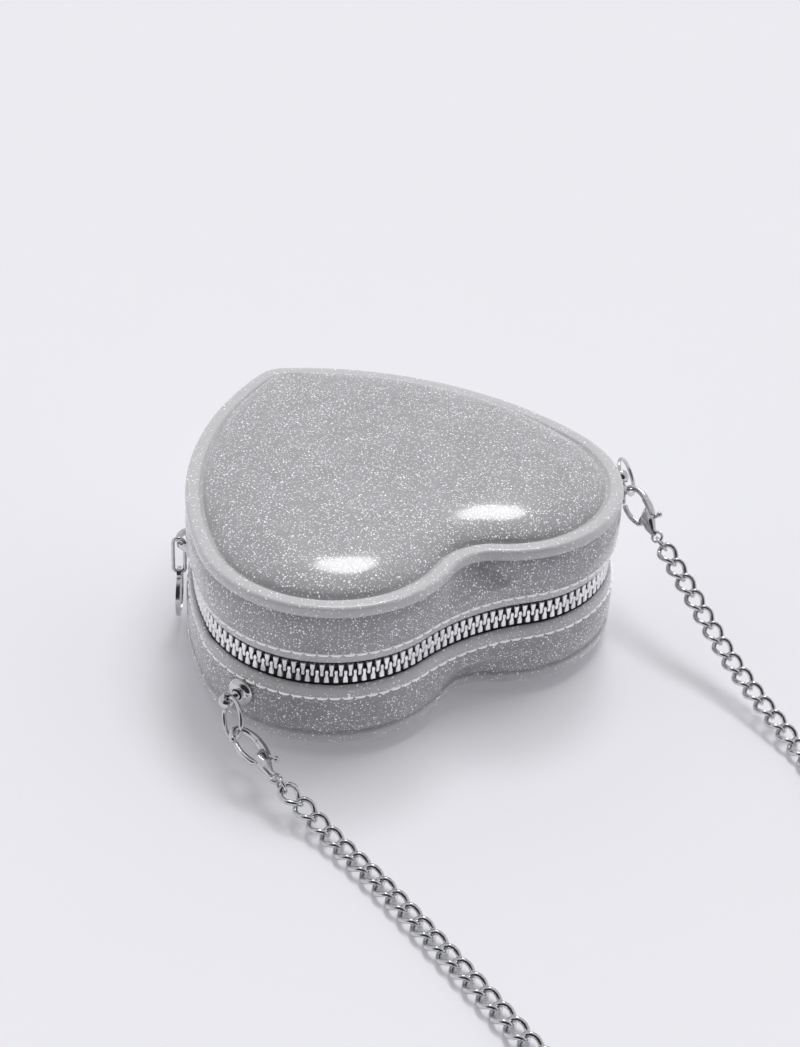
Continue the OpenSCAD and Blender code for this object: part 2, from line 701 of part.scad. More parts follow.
// The slider's frame: x outward from the outline, y along the zipper, z up from the zip plane
module at_slider() {
    translate(side_c) rotate([0, 0, slider_angle]) translate([side_r, 0, half_h]) children();
}
module wing_outline() {
    half_l = slider_l / 2;
    half_w = slider_w / 2;
    edge = [
        [-half_l, half_w - wing_front_cut], [-half_l + wing_front_cut, half_w],
        [half_l - wing_rear_cut, half_w], [half_l, half_w - wing_rear_cut]
    ];
    polygon(concat(edge, reversed([for (p = edge) [p.x, -p.y]])));
}
module zip_slider() {
    flange_l = slider_l - wing_front_cut - wing_rear_cut;
    tape_out_x = -tape_inset + gap;
    tape_in_x = -tape_inset - tape_t - gap;
    color([0.75, 0.75, 0.77]) at_slider() {
        translate([outer_wing_x, 0, 0]) rotate([90, 0, 90]) linear_extrude(wing_t) wing_outline();
        translate([inner_wing_x - wing_t, 0, 0]) rotate([90, 0, 90]) linear_extrude(wing_t)
            wing_outline();
        for (row = [0, 1]) mirror([0, 0, row]) {
            translate([tape_out_x, -slider_l / 2 + wing_front_cut, slider_w / 2 - flange_w])
                cube([outer_wing_x - tape_out_x + wing_t / 2, flange_l, flange_w]);
            translate([inner_wing_x - wing_t / 2, -slider_l / 2 + wing_front_cut, slider_w / 2 - flange_w])
                cube([tape_in_x - inner_wing_x + wing_t / 2, flange_l, flange_w]);
        }
        translate([inner_wing_x - wing_t / 2, -slider_l / 2 + flange_w / 2, -post_w / 2])
            cube([outer_wing_x - inner_wing_x + wing_t, post_l, post_w]);
        crown();
    }
}
module crown() {
    face_x = outer_wing_x + wing_t;
    translate([face_x, 0, -crown_w / 2]) linear_extrude(crown_w) difference() {
        intersection() {
            translate([crown_rise - crown_arch_r, 0]) circle(crown_arch_r);
            translate([-wing_t / 2, -slider_l / 2]) square([crown_rise + wing_t, slider_l]);
        }
        intersection() {
            translate([crown_open_rise - crown_open_r, 0]) circle(crown_open_r);
            translate([0, -slider_l / 2]) square([crown_rise, slider_l]);
        }
    }
}

// The pull: a long ring round the crown's bar and a bare disc on it
module pull_ring() {
    top_h = pull_top_h - pull_ring_r;
    foot_h = pull_foot_h + pull_ring_r;
    color([0.8, 0.8, 0.82]) at_slider() translate([crown_bar_x, pull_y, 0]) {
        for (side = [-1, 1]) translate([side * pull_ring_r, 0, foot_h])
            cylinder(d = pull_wire_d, h = top_h - foot_h);
        translate([0, 0, top_h]) rotate([90, 0, 0]) half_ring();
        translate([0, 0, foot_h]) rotate([-90, 0, 0]) half_ring();
    }
}
module half_ring() {
    rotate_extrude(angle = 180) translate([pull_ring_r, 0]) circle(d = pull_wire_d);
}
module pull_disc() {
    border_w = disc_t;
    recess = disc_t / 6;
    neck_w = disc_ear_r * disc_neck_share;
    color([0.45, 0.45, 0.47]) at_slider() translate([crown_bar_x, pull_y, 0])
        difference() {
            rotate([90, 0, 90]) linear_extrude(disc_t, center = true) difference() {
                union() {
                    translate([0, disc_centre_h]) circle(d = disc_d);
                    translate([0, disc_hole_h]) circle(disc_ear_r);
                    translate([-neck_w / 2, disc_centre_h]) square([neck_w, disc_hole_h - disc_centre_h]);
                }
                translate([0, disc_hole_h]) circle(disc_hole_r);
            }
            for (side = [-1, 1]) translate([side * disc_t / 2 - recess, 0, disc_centre_h])
                rod(disc_d / 2 - border_w, 2 * recess);
        }
}

// A stud: post through the wall, domed flange, neck and a ball bored for the strap ring
module stud_piece(stud) {
    dome_r = (flange_d * flange_d / 4 + flange_h * flange_h) / (2 * flange_h);
    difference() {
        lay(stud[0], stud[1], [0, 0, 1]) rotate([0, 90, 0]) rotate_extrude() intersection() {
            union() {
                translate([0, -stud_pad_inset + seat]) square([stud_post_r, stud_pad_inset]);
                intersection() {
                    translate([0, fit + flange_h - dome_r]) circle(dome_r);
                    translate([0, fit]) square([flange_d, flange_h]);
                }
                translate([0, flange_h / 2]) square([stud_neck_r, ball_out - flange_h / 2]);
                translate([0, ball_out]) circle(d = ball_d);
            }
            translate([0, -stud_pad_inset]) square([flange_d, 2 * ball_out + stud_pad_inset]);
        }
        lay(stud[2], stud[3], stud[1]) translate([-ball_d, 0, 0]) rod(eye_d / 2, 2 * ball_d);
        lay(stud[0], stud[1], [0, 0, 1]) translate([-stud_pad_inset - over, 0, 0])
            rod(screw_r + fit, screw_l + over);
    }
}
module lower_stud_piece() { color([0.75, 0.75, 0.77]) stud_piece(lower_stud); }
module upper_stud_piece() { color([0.75, 0.75, 0.77]) stud_piece(upper_stud); }

module stud_washer(stud) {
    color([0.75, 0.75, 0.77]) lay(stud[0], stud[1], [0, 0, 1])
        translate([-stud_pad_inset - fit - washer_t, 0, 0]) difference() {
            rod(washer_r, washer_t);
            translate([-over, 0, 0]) rod(screw_r + seat, washer_t + 2 * over);
        }
}
module stud_screw(stud) {
    head_x = -stud_pad_inset - 2 * fit - washer_t;
    color([0.7, 0.7, 0.72]) lay(stud[0], stud[1], [0, 0, 1]) difference() {
        union() {
            translate([head_x - screw_head_t, 0, 0]) rod(screw_head_r, screw_head_t);
            translate([head_x - screw_head_t / 2, 0, 0]) rod(screw_r, screw_l);
        }
        translate([head_x - screw_head_t - over, -screw_slot_w / 2, -screw_head_r - over])
            cube([over + screw_head_t / 2, screw_slot_w, 2 * (screw_head_r + over)]);
    }
}

// A strap ring hangs in the ball's bore
module strap_ring(stud) {
    color([0.8, 0.8, 0.82]) lay(stud[2] + ring_r * stud[4], stud[4], stud[5])
        rotate_extrude() translate([ring_r, 0]) circle(d = ring_wire_d);
}

// The claw's frame: x from the hold on the ring to the tail, z through its thickness
module at_claw(stud) { lay(stud[6], stud[7], stud[8]) children(); }
module egg(from_x, to_x, w) {
    edge = [for (i = [0:claw_steps])
        [from_x + (to_x - from_x) * i / claw_steps, claw_half(i / claw_steps, w)]];
    polygon(concat(edge, reversed([for (i = [1:claw_steps - 1]) [edge[i].x, -edge[i].y]])));
}
module claw_loop() {
    difference() {
        egg(claw_from, claw_to, claw_w);
        egg(claw_hold_x + bow_w / 2, opening_end, claw_w - 2 * bow_w);
    }
}

// The mouth's front is an arc round the lever's pivot, so that the gate swings clear of it
module mouth(clear) {
    reach = norm([claw_pivot.x - mouth_from, claw_pivot.y + claw_edge(mouth_from)]);
    intersection() {
        translate([claw_from, -claw_w]) square([mouth_to - clear - claw_from, claw_w]);
        translate(claw_pivot) circle(reach - clear);
    }
}
module claw_body(stud) {
    slot_from = mouth_to - lever_arm_w;
    slot_to = claw_pivot.x + lever_hub_r + gap;
    color([0.78, 0.78, 0.8]) at_claw(stud) difference() {
        union() {
            linear_extrude(claw_t, center = true) difference() {
                claw_loop();
                mouth(0);
            }
            translate([claw_eye_x, 0, -claw_eye_t / 2]) cylinder(r = claw_eye_r, h = claw_eye_t);
        }
        translate([claw_eye_x, 0, -claw_t]) cylinder(r = claw_eye_hole_r, h = 2 * claw_t);
        translate([slot_from, -claw_w, -lever_t / 2 - seat])
            cube([slot_to - slot_from, 2 * claw_w, lever_t + 2 * seat]);
        translate([claw_pivot.x, claw_pivot.y, -claw_t]) cylinder(d = pin_d + 2 * fit, h = 2 * claw_t);
    }
}
module claw_lever(stud) {
    color([0.7, 0.7, 0.72]) at_claw(stud) difference() {
        union() {
            linear_extrude(lever_t, center = true) intersection() {
                claw_loop();
                mouth(seat);
            }
            linear_extrude(lever_t, center = true) {
                translate(claw_pivot) circle(lever_hub_r);
                bar(claw_pivot, [mouth_to - lever_arm_w, bow_w / 2 - claw_edge(mouth_to)], lever_arm_w);
                bar(claw_pivot, lever_nub, lever_arm_w);
                translate(lever_nub) circle(lever_nub_r);
            }
        }
        translate([claw_pivot.x, claw_pivot.y, -claw_t]) cylinder(d = pin_d + 2 * seat, h = 2 * claw_t);
    }
}

// A straight bar between two points
module bar(from, to, w) {
    translate(from) rotate(compass(from, to)) translate([0, -w / 2]) square([norm(to - from), w]);
}
module claw_pin(stud) {
    color([0.7, 0.7, 0.72]) at_claw(stud) translate([claw_pivot.x, claw_pivot.y, -claw_t / 2])
        cylinder(d = pin_d, h = claw_t);
}
module jump_ring(stud, turn) {
    color([0.8, 0.8, 0.82]) at_claw(stud) translate([jump_x, 0, 0]) rotate([90 + turn, 0, 0])
        rotate_extrude() translate([jump_ring_r, 0]) circle(d = jump_wire_d);
}

// A link: an oval of wire whose two ends are rolled opposite ways, so that links lie flat
function link_spot(t) =
    let (
        a = (link_l - link_wire_d) / 2,
        b = (link_w - link_wire_d) / 2,
        roll = link_roll * cos(t)
    )
    [a * cos(t), b * sin(t) * cos(roll), b * sin(t) * sin(roll)];
function ring_around(at, along, out, r, n) =
    let (x = unit(out - (out * along) * along), y = cross(along, x))
    [for (k = [0:n - 1]) at + r * (cos(360 * k / n) * x + sin(360 * k / n) * y)];
function side_faces(rings, n, closed) =
    [for (i = [0:rings - (closed ? 1 : 2)], k = [0:n - 1], half = [0, 1])
        let (
            a = i * n,
            b = (i + 1) % rings * n,
            next = (k + 1) % n
        )
        half == 0 ? [a + k, b + k, b + next] : [a + k, b + next, a + next]];
function fan(n) = [for (k = [1:n - 2]) [0, k, k + 1]];
module link() {
    turn = 360 / link_rings;
    points = [for (i = [0:link_rings - 1])
        let (t = turn * i)
        each ring_around(link_spot(t), unit(link_spot(t + 1) - link_spot(t - 1)), link_spot(t),
            link_wire_d / 2, link_sides)];
    polyhedron(points, side_faces(link_rings, link_sides, true));
}
module link_run(route) {
    count = floor((route_length(route) - link_wire_d) / link_pitch);
    first_at = (link_l - link_wire_d) / 2;
    for (i = [0:count - 1]) {
        s = first_at + i * link_pitch;
        along = unit(route_spot(route, s + link_pitch / 2) - route_spot(route, s - link_pitch / 2));
        lay(route_spot(route, s), along, [0, 0, 1]) link();
    }
}
module lower_chain() { color([0.8, 0.8, 0.82]) link_run(lower_route); }
module upper_chain() { color([0.8, 0.8, 0.82]) link_run(upper_route); }

// The length that lies out of view is one unbroken tube
module stowed_chain() {
    n = len(stowed_route);
    points = [for (i = [0:n - 1])
        let (
            before = stowed_route[max(i - 1, 0)],
            after = stowed_route[min(i + 1, n - 1)],
            along = unit([after.x - before.x, after.y - before.y, 0])
        )
        each ring_around([stowed_route[i].x, stowed_route[i].y, tube_h], along,
            cross([0, 0, 1], along), chain_d / 2, tube_sides)];
    last = (n - 1) * tube_sides;
    ends = concat(
        [for (f = fan(tube_sides)) f],
        [for (f = fan(tube_sides)) [last + f[0], last + f[2], last + f[1]]]
    );
    color([0.6, 0.6, 0.65]) polyhedron(points, concat(side_faces(n, tube_sides, false), ends));
}

// A flat tie holds the strands of the coil together at one side
tie_angle = 180;
tie_w = 6;
tie_t = 0.4;
tie_room = 0.8;
tie_from_r = coil_inner_r + coil_pitch * (coil_start - tie_angle) / 180;
tie_to_r = tie_from_r + 2 * coil_pitch;
module coil_tie() {
    inner_l = tie_to_r - tie_from_r + chain_d + 2 * tie_room;
    color([0.2, 0.2, 0.2]) translate(coil_c) rotate([0, 0, tie_angle])
        translate([tie_from_r - chain_d / 2 - tie_room - tie_t, -tie_w / 2, 0]) difference() {
            cube([inner_l + 2 * tie_t, tie_w, chain_d]);
            translate([tie_t, -over, tie_t]) cube([inner_l, tie_w + 2 * over, chain_d - 2 * tie_t]);
        }
}

lower_shell();
upper_shell();
lower_lining();
upper_lining();
hinge_gusset();
lower_tape();
upper_tape();
side_tapes();
lower_teeth();
upper_teeth();
side_teeth();
lower_top_stop();
upper_top_stop();
bottom_stop();
zip_slider();
pull_ring();
pull_disc();
lower_stud_piece();  // lower_stud
upper_stud_piece();  // upper_stud
stud_washer(lower_stud);  // lower_stud_washer
stud_washer(upper_stud);  // upper_stud_washer
stud_screw(lower_stud);  // lower_stud_screw
stud_screw(upper_stud);  // upper_stud_screw
strap_ring(lower_stud);  // lower_ring
strap_ring(upper_stud);  // upper_ring
claw_body(lower_stud);  // lower_claw
claw_body(upper_stud);  // upper_claw
claw_lever(lower_stud);  // lower_lever
claw_lever(upper_stud);  // upper_lever
claw_pin(lower_stud);  // lower_claw_pin
claw_pin(upper_stud);  // upper_claw_pin
jump_ring(lower_stud, lower_jump_turn);  // lower_jump_ring
jump_ring(upper_stud, upper_jump_turn);  // upper_jump_ring
lower_chain();
upper_chain();
stowed_chain();
coil_tie();
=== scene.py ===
"""A heart shaped purse of glitter vinyl with a zipper and a chain strap, dressed for the render.

Lengths in the classes are millimetres in the frame of the CAD model, whose origin is the middle of
the face that the purse rests on. They become metres only where a mesh is made. The heights of a
half count from the zip plane, and an inset counts inwards from the rim's outline.
"""

import logging
import math
from dataclasses import dataclass
from enum import Enum

import bpy
import numpy as np
from mathutils import Matrix, Vector


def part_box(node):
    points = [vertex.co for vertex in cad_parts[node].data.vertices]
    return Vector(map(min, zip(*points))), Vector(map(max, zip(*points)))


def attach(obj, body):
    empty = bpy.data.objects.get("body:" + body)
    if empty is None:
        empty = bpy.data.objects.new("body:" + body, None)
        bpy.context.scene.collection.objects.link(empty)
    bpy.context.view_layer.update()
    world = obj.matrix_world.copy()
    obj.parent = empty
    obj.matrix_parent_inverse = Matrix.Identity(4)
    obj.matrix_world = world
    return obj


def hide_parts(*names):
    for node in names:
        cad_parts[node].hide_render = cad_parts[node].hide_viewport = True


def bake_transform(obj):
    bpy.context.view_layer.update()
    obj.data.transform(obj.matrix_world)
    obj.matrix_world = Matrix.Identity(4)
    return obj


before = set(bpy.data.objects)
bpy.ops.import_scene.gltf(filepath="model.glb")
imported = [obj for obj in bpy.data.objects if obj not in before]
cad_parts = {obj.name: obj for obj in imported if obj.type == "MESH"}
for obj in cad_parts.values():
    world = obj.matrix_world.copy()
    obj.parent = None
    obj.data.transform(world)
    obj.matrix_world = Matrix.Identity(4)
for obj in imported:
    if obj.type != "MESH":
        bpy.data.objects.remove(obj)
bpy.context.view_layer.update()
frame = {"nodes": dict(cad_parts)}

LOG = logging.getLogger("purse")
MM = 0.001
ALONG, ACROSS, UP = np.eye(3)
Points = np.ndarray
Surface = tuple[Points, Points, list]
Triple = tuple[float, float, float]
Material = bpy.types.Material
Piece = bpy.types.Object
Socket = bpy.types.NodeSocket


class Half(Enum):
    """One of the two half shells: its body, and the way up from the zip plane."""

    LOWER = -1
    UPPER = 1

    @property
    def tag(self) -> str:
        """First word of the names of the half's pieces."""
        return self.name.lower()

    @property
    def body(self) -> str:
        """Name of the CAD body that the half belongs to."""
        return f"{self.tag}_half"


def unit(v: Points) -> Points:
    """Return the vectors of the last axis at length one."""
    v = np.asarray(v, float)
    return v / np.maximum(np.linalg.norm(v, axis=-1, keepdims=True), 1e-12)


def smooth_step(share: Points) -> Points:
    """Return 3 s^2 - 2 s^3 of a share s that is held between 0 and 1."""
    share = np.clip(share, 0, 1)
    return share * share * (3 - 2 * share)


def swell(h: Points, middle: float, width: float) -> Points:
    """Return a bell of height 1 about a middle: exp(-((h - middle) / width)^2)."""
    return np.exp(-(((h - middle) / width) ** 2))


def outward(ahead: Points) -> Points:
    """Return the level directions to the right of others."""
    return np.stack([ahead[..., 1], -ahead[..., 0]], -1)


def arc(centre: Points, r: Points, a: Points, b: Points, n: int) -> Points:
    """Return n points of one arc, or of each row's, from angle a up to but without b."""
    t = a + (b - a) * np.arange(n) / n
    spoke = np.stack([np.cos(t), np.sin(t)], -1)
    return np.asarray(centre, float)[..., None, :] + np.asarray(r, float)[..., None] * spoke


def corner(x: float, h: float, r: float, a: float, b: float, n: int) -> Points:
    """Return n points of a round about (x, h), from angle a to b in degrees."""
    t = np.radians(np.linspace(a, b, n))
    return np.array([x, h]) + r * np.stack([np.cos(t), np.sin(t)], -1)


def ellipse(a: float | Points, b: float | Points, sides: int, power: float = 1.0) -> Points:
    """Return a superellipse (a |cos|^p sign, b |sin|^p sign), one for each pair of half axes."""
    t = 2 * np.pi * np.arange(sides) / sides
    way = np.stack([np.cos(t), np.sin(t)], -1)
    half = np.stack(np.broadcast_arrays(np.asarray(a, float), np.asarray(b, float)), -1)
    return np.sign(way) * np.abs(way) ** power * half[..., None, :]


def grid_quads(rows: int, cols: int, closed: bool = False) -> Points:
    """Return the quads of rings of points that are stored ring by ring.

    Args:
        rows: Number of rings.
        cols: Number of points in a ring, whose last point joins its first.
        closed: Whether the last ring joins the first.

    Returns:
        An array of shape (quads, 4).
    """
    r = np.arange(rows if closed else rows - 1)[:, None]
    c = np.arange(cols)[None, :]
    r2, c2 = (r + 1) % rows, (c + 1) % cols
    return np.stack([r * cols + c, r * cols + c2, r2 * cols + c2, r2 * cols + c], -1).reshape(-1, 4)


def skin(rings: Points, closed: bool = False) -> Surface:
    """Join rings of shape (rings, columns, 3), with flat ends unless they close on themselves."""
    n, m = rings.shape[:2]
    caps = [] if closed else [list(range(m))[::-1], list(range((n - 1) * m, n * m))]
    return rings.reshape(-1, 3), grid_quads(n, m, closed), caps


def sweep(path: Points, section: Points, side: Points, over: Points,
          closed: bool = False) -> Surface:
    """Put a section (x, y) at each point of a path: path + x * side + y * over.

    Args:
        path: Points of shape (n, 3).
        section: One outline, or one for each point of the path.
        side: The section's first direction, one for all or one for each point.
        over: The section's second direction, in the same way.
        closed: Whether the path is a loop.

    Returns:
        The points, the quads and the caps.
    """
    side, over = (np.broadcast_to(v, path.shape)[:, None] for v in (side, over))
    return skin(path[:, None] + section[..., :1] * side + section[..., 1:] * over, closed)


def tube(path: Points, section: Points, up: Points, closed: bool = False) -> Surface:
    """Carry a section along a path, upright to the way from each point before to each after."""
    if closed:
        along = unit(np.roll(path, -1, 0) - np.roll(path, 1, 0))
    else:
        along = unit(np.gradient(path, axis=0))
    side = unit(np.cross(np.broadcast_to(up, along.shape), along))
    return sweep(path, section, side, np.cross(along, side), closed)


def turned(profile: Points, at: Points, axis: Points, sides: int, closed: bool) -> Surface:
    """Return a profile of radius and height turned about an axis through a point."""
    side = unit(np.cross(axis, [0.3, 0.2, 1.0]))
    ring = ellipse(profile[:, 0], profile[:, 0], sides)
    return sweep(at + profile[:, 1:] * axis, ring, side, np.cross(axis, side), closed)


def join(*parts: Surface) -> Surface:
    """Put several closed surfaces into one set of points, quads and caps."""
    starts = np.cumsum([0] + [len(p) for p, _, _ in parts]).tolist()
    caps = [[k + start for k in cap] for start, part in zip(starts, parts) for cap in part[2]]
    quads = [q + start for start, (_, q, _) in zip(starts, parts)]
    return np.concatenate([p for p, _, _ in parts]), np.concatenate(quads), caps


def copies(shape: Points, quads: Points, at: Points, axes: tuple[Points, ...]) -> Surface:
    """Place one closed shape many times: each copy is at + shape . axes.

    Args:
        shape: Points of the shape, (m, 3).
        quads: Its quads.
        at: Places, (n, 3).
        axes: The shape's three axes at each place, (n, 3) each.

    Returns:
        The points, the quads and no caps.
    """
    points = at[:, None] + np.einsum("mk,nkj->nmj", shape, np.stack(axes, 1))
    shift = (np.arange(len(at)) * len(shape))[:, None, None]
    return points.reshape(-1, 3), (quads[None] + shift).reshape(-1, 4), []


def smooth_route(points: list[tuple], steps: int = 4) -> Points:
    """Return a Catmull-Rom curve through the points, each stretch cut into equal shares."""
    p = np.array([points[0], *points, points[-1]], float)
    a, b, c, d = p[:-3, None], p[1:-2, None], p[2:-1, None], p[3:, None]
    t = (np.arange(steps) / steps)[None, :, None]
    bend, turn = 2 * a - 5 * b + 4 * c - d, 3 * b - a - 3 * c + d
    curve = (2 * b + (c - a) * t + bend * t**2 + turn * t**3) / 2
    return np.concatenate([curve.reshape(-1, p.shape[1]), p[-1:]])


def distances(route: Points) -> Points:
    """Return how far along a route of straight stretches each of its points lies."""
    return np.concatenate([[0], np.cumsum(np.linalg.norm(np.diff(route, axis=0), axis=1))])


def along_route(route: Points, s: Points) -> Points:
    """Return the points at the distances s along a route, which runs on straight at its ends."""
    length = distances(route)
    s = np.asarray(s, float)
    inside = np.stack([np.interp(s, length, line) for line in route.T], -1)
    past = np.maximum(s - length[-1], 0)[..., None] * unit(route[-1] - route[-2])
    before = np.minimum(s, 0)[..., None] * unit(route[1] - route[0])
    return inside + past + before


def heading(route: Points, s: Points, reach: float) -> Points:
    """Return a route's directions, each from a reach before the distance s to a reach after."""
    return unit(along_route(route, s + reach) - along_route(route, s - reach))


def build_object(name: str, surface: Surface, material: Material, slot: str, body: str | None,
                 *nodes: str, marks: Points | None = None, smooth: bool = True) -> Piece:
    """Make a closed mesh object whose faces point outwards.

    The signed volume, a sixth of the sum of a . (b x c) over all triangles, tells which way the
    faces point, and they are all turned round where it is negative.

    Args:
        name: Name of the piece.
        surface: Points in millimetres, quads, and faces of any size as lists of point numbers.
        material: What all of it is made of.
        slot: Name of the material's kind; not used.
        body: Body that it rides on, or None for a piece that rides on no body.
        nodes: CAD nodes that it stands for.
        marks: A value for each point, kept as the attribute "grain".
        smooth: Whether the faces are shaded smooth.

    Returns:
        The object, at the origin.
    """
    points, quads, caps = surface
    a, b, c, d = (points[quads[:, k]] for k in range(4))
    volume = (a * (np.cross(b, c) + np.cross(c, d))).sum()
    for cap in caps:
        ring = points[cap]
        volume += (ring[0] * np.cross(ring[1:-1], ring[2:])).sum()
    faces = quads.tolist() + caps
    if volume < 0:
        faces = [face[::-1] for face in faces]
    mesh = bpy.data.meshes.new(name)
    mesh.from_pydata((points * MM).tolist(), [], faces)
    if marks is not None:
        grain = mesh.attributes.new("grain", "FLOAT", "POINT")
        grain.data.foreach_set("value", np.asarray(marks, np.float32))
    mesh.polygons.foreach_set("use_smooth", [smooth] * len(mesh.polygons))
    mesh.validate()
    mesh.update()
    piece = link(name, mesh)
    dress(piece, material)
    if body:
        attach(piece, body)
    if nodes:
        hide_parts(*nodes)
    return piece


def link(name: str, data: bpy.types.ID) -> Piece:
    """Add an object for a mesh, a camera or a light to the scene."""
    piece = bpy.data.objects.new(name, data)
    bpy.context.scene.collection.objects.link(piece)
    return piece


def dress(piece: Piece, material: Material) -> None:
    """Put one material on all of a piece."""
    piece.data.materials.clear()
    piece.data.materials.append(material)


class Recipe:
    """A node material while it is being put together."""

    def __init__(self, name: str) -> None:
        """Start a material with a Principled shader."""
        self.material = bpy.data.materials.new(name)
        self.material.use_nodes = True
        self.tree = self.material.node_tree
        self.tree.nodes.clear()
        self.shader = self.node("ShaderNodeBsdfPrincipled")
        self.node("ShaderNodeOutputMaterial", {"Surface": self.shader.outputs[0]})
        self.place = self.node("ShaderNodeTexCoord").outputs["Object"]

    def feed(self, node: bpy.types.Node, inputs: dict) -> bpy.types.Node:
        """Give inputs of a node, by name or number, a constant or another node's output."""
        for key, value in inputs.items():
            socket = node.inputs[key]
            if isinstance(value, Socket):
                self.tree.links.new(value, socket)
            elif isinstance(value, tuple) and socket.type == "RGBA":
                socket.default_value = (*value, 1.0)
            else:
                socket.default_value = value
        return node

    def node(self, kind: str, inputs: dict | None = None, **settings: str) -> bpy.types.Node:
        """Add a node, set its properties and feed its inputs."""
        made = self.tree.nodes.new(kind)
        for key, value in settings.items():
            setattr(made, key, value)
        return self.feed(made, inputs or {})

    def finish(self, **values: object) -> Material:
        """Feed sockets of the shader, named with underscores for spaces."""
        self.feed(self.shader, {key.replace("_", " "): value for key, value in values.items()})
        return self.material

    def math(self, how: str, *values: object) -> Socket:
        """Return the result of a Math node."""
        return self.node("ShaderNodeMath", dict(enumerate(values)), operation=how).outputs[0]

    def step(self, value: Socket, low: float, high: float) -> Socket:
        """Return a smooth step from 0 at low to 1 at high."""
        inputs = {"Value": value, "From Min": low, "From Max": high}
        made = self.node("ShaderNodeMapRange", inputs, interpolation_type="SMOOTHSTEP")
        return made.outputs["Result"]

    def mix(self, share: Socket, a: object, b: object) -> Socket:
        """Return a colour between a and b."""
        return self.node("ShaderNodeMix", {0: share, 6: a, 7: b}, data_type="RGBA").outputs[2]

    def spots(self, kind: str, size: float, **inputs: float) -> bpy.types.Node:
        """Add a texture whose spots are about size millimetres wide."""
        return self.node(kind, {"Vector": self.place, "Scale": 1 / (size * MM), **inputs})

    def noise(self, size: float, detail: float = 2.0) -> Socket:
        """Return a noise whose spots are about size millimetres wide."""
        return self.spots("ShaderNodeTexNoise", size, Detail=detail).outputs[0]

    def bump(self, height: Socket, depth: float, strength: float) -> Socket:
        """Return a normal that rises and falls with height, by depth millimetres."""
        inputs = {"Strength": strength, "Distance": depth * MM, "Height": height}
        return self.node("ShaderNodeBump", inputs).outputs[0]


def scaled(colour: Triple, by: float) -> Triple:
    """Return a colour made lighter or darker, up to white."""
    return tuple(min(1.0, v * by) for v in colour)


@dataclass(frozen=True)
class GlitterVinyl:
    """Grey translucent vinyl with silver flakes under a glossy skin, whose glints are painted into
    the flakes' colour and glow.
    """

    body: Triple = (0.37, 0.362, 0.38)
    rim: Triple = (0.61, 0.605, 0.62)
    flake: Triple = (0.95, 0.95, 0.96)
    flake_size: float = 0.55
    coarse: float = 1.55
    painted_glint_glow: float = 0.45

    def layer(self, r: Recipe, grain: Socket, size: float, share: float, fade: float) -> Socket:
        """Return flakes of one size, as round spots in the cells that their random colour chooses.
        Each flake's random brightness is a painted glint.

        Args:
            r: The recipe that the nodes go into.
            grain: How much glitter lies at a point, 0 to 1.
            size: Width of a cell in millimetres.
            share: Share of the cells that hold a flake where the grain is 1.
            fade: Power that spreads the flakes' painted glint brightness.
        """
        cells = r.spots("ShaderNodeTexVoronoi", size).outputs
        red, green, _ = r.node("ShaderNodeSeparateColor", {0: cells["Color"]}).outputs
        chosen = r.math("LESS_THAN", red, r.math("MULTIPLY", grain, share))
        spot = r.math("SUBTRACT", 1.0, r.step(cells["Distance"], 0.26, 0.4))
        # Each flake's random brightness: a painted glint
        shine = r.math("POWER", green, fade)
        return r.math("MULTIPLY", r.math("MULTIPLY", spot, chosen), shine)

    def make(self) -> Material:
        """Build the material: a clouded body, two sizes of flakes, and a milky rim with few. The
        flakes glow by their brightness squared: painted glints, though no lamp lights them.
        """
        r = Recipe("glitter_vinyl")
        grain = r.node("ShaderNodeAttribute", attribute_name="grain").outputs["Fac"]
        fine = self.layer(r, grain, self.flake_size, 0.85, 0.7)
        coarse = self.layer(r, grain, self.flake_size * self.coarse, 0.3, 0.9)
        flake = r.math("MAXIMUM", fine, coarse)
        body = r.mix(r.step(r.noise(9.0, 3.0), 0.3, 0.7), self.body, scaled(self.body, 1.12))
        body = r.mix(r.step(grain, 0.75, 0.3), body, self.rim)
        return r.finish(
            Base_Color=r.mix(flake, body, self.flake), Roughness=0.4, Emission_Color=self.flake,
            # Emission of the flakes: painted glints, the flakes glow though they are no lamp
            Emission_Strength=r.math("MULTIPLY", r.math("POWER", flake, 2.0), self.painted_glint_glow),
            Subsurface_Weight=0.25, Subsurface_Scale=0.004, Subsurface_Radius=(1.0, 1.0, 1.05),
            Coat_Weight=0.8, Coat_Roughness=0.11, IOR=1.45,
            Normal=r.bump(r.math("ADD", r.noise(1.6), flake), 0.03, 0.55),
        )


@dataclass(frozen=True)
class Cloth:
    """Plain woven cloth or thread in one colour."""

    name: str
    colour: Triple
    thread: float = 0.35
    rough: float = 0.85
    # Emission strength: a glow above nothing, as on the seam thread, is painted light that
    # brightens the cloth though no lamp lights it
    glow: float = 0.0

    def make(self) -> Material:
        """Build the material: crossing waves of the thread's width give the weave."""
        r = Recipe(self.name)
        ways = r.node("ShaderNodeSeparateXYZ", {0: r.place}).outputs
        turn = 2 * math.pi / (self.thread * MM)
        x, y, z = (r.math("SINE", r.math("MULTIPLY", way, turn)) for way in ways)
        weave = r.math("MAXIMUM", r.math("MULTIPLY", x, y), z)
        shade = r.math("MULTIPLY_ADD", r.noise(3.0), 0.2, r.math("MULTIPLY_ADD", weave, 0.12, 0.5))
        return r.finish(
            Base_Color=r.mix(shade, scaled(self.colour, 0.7), scaled(self.colour, 1.25)),
            Roughness=self.rough, Sheen_Weight=0.3, Normal=r.bump(weave, 0.03, 0.3),
            Emission_Color=self.colour, Emission_Strength=self.glow,
        )


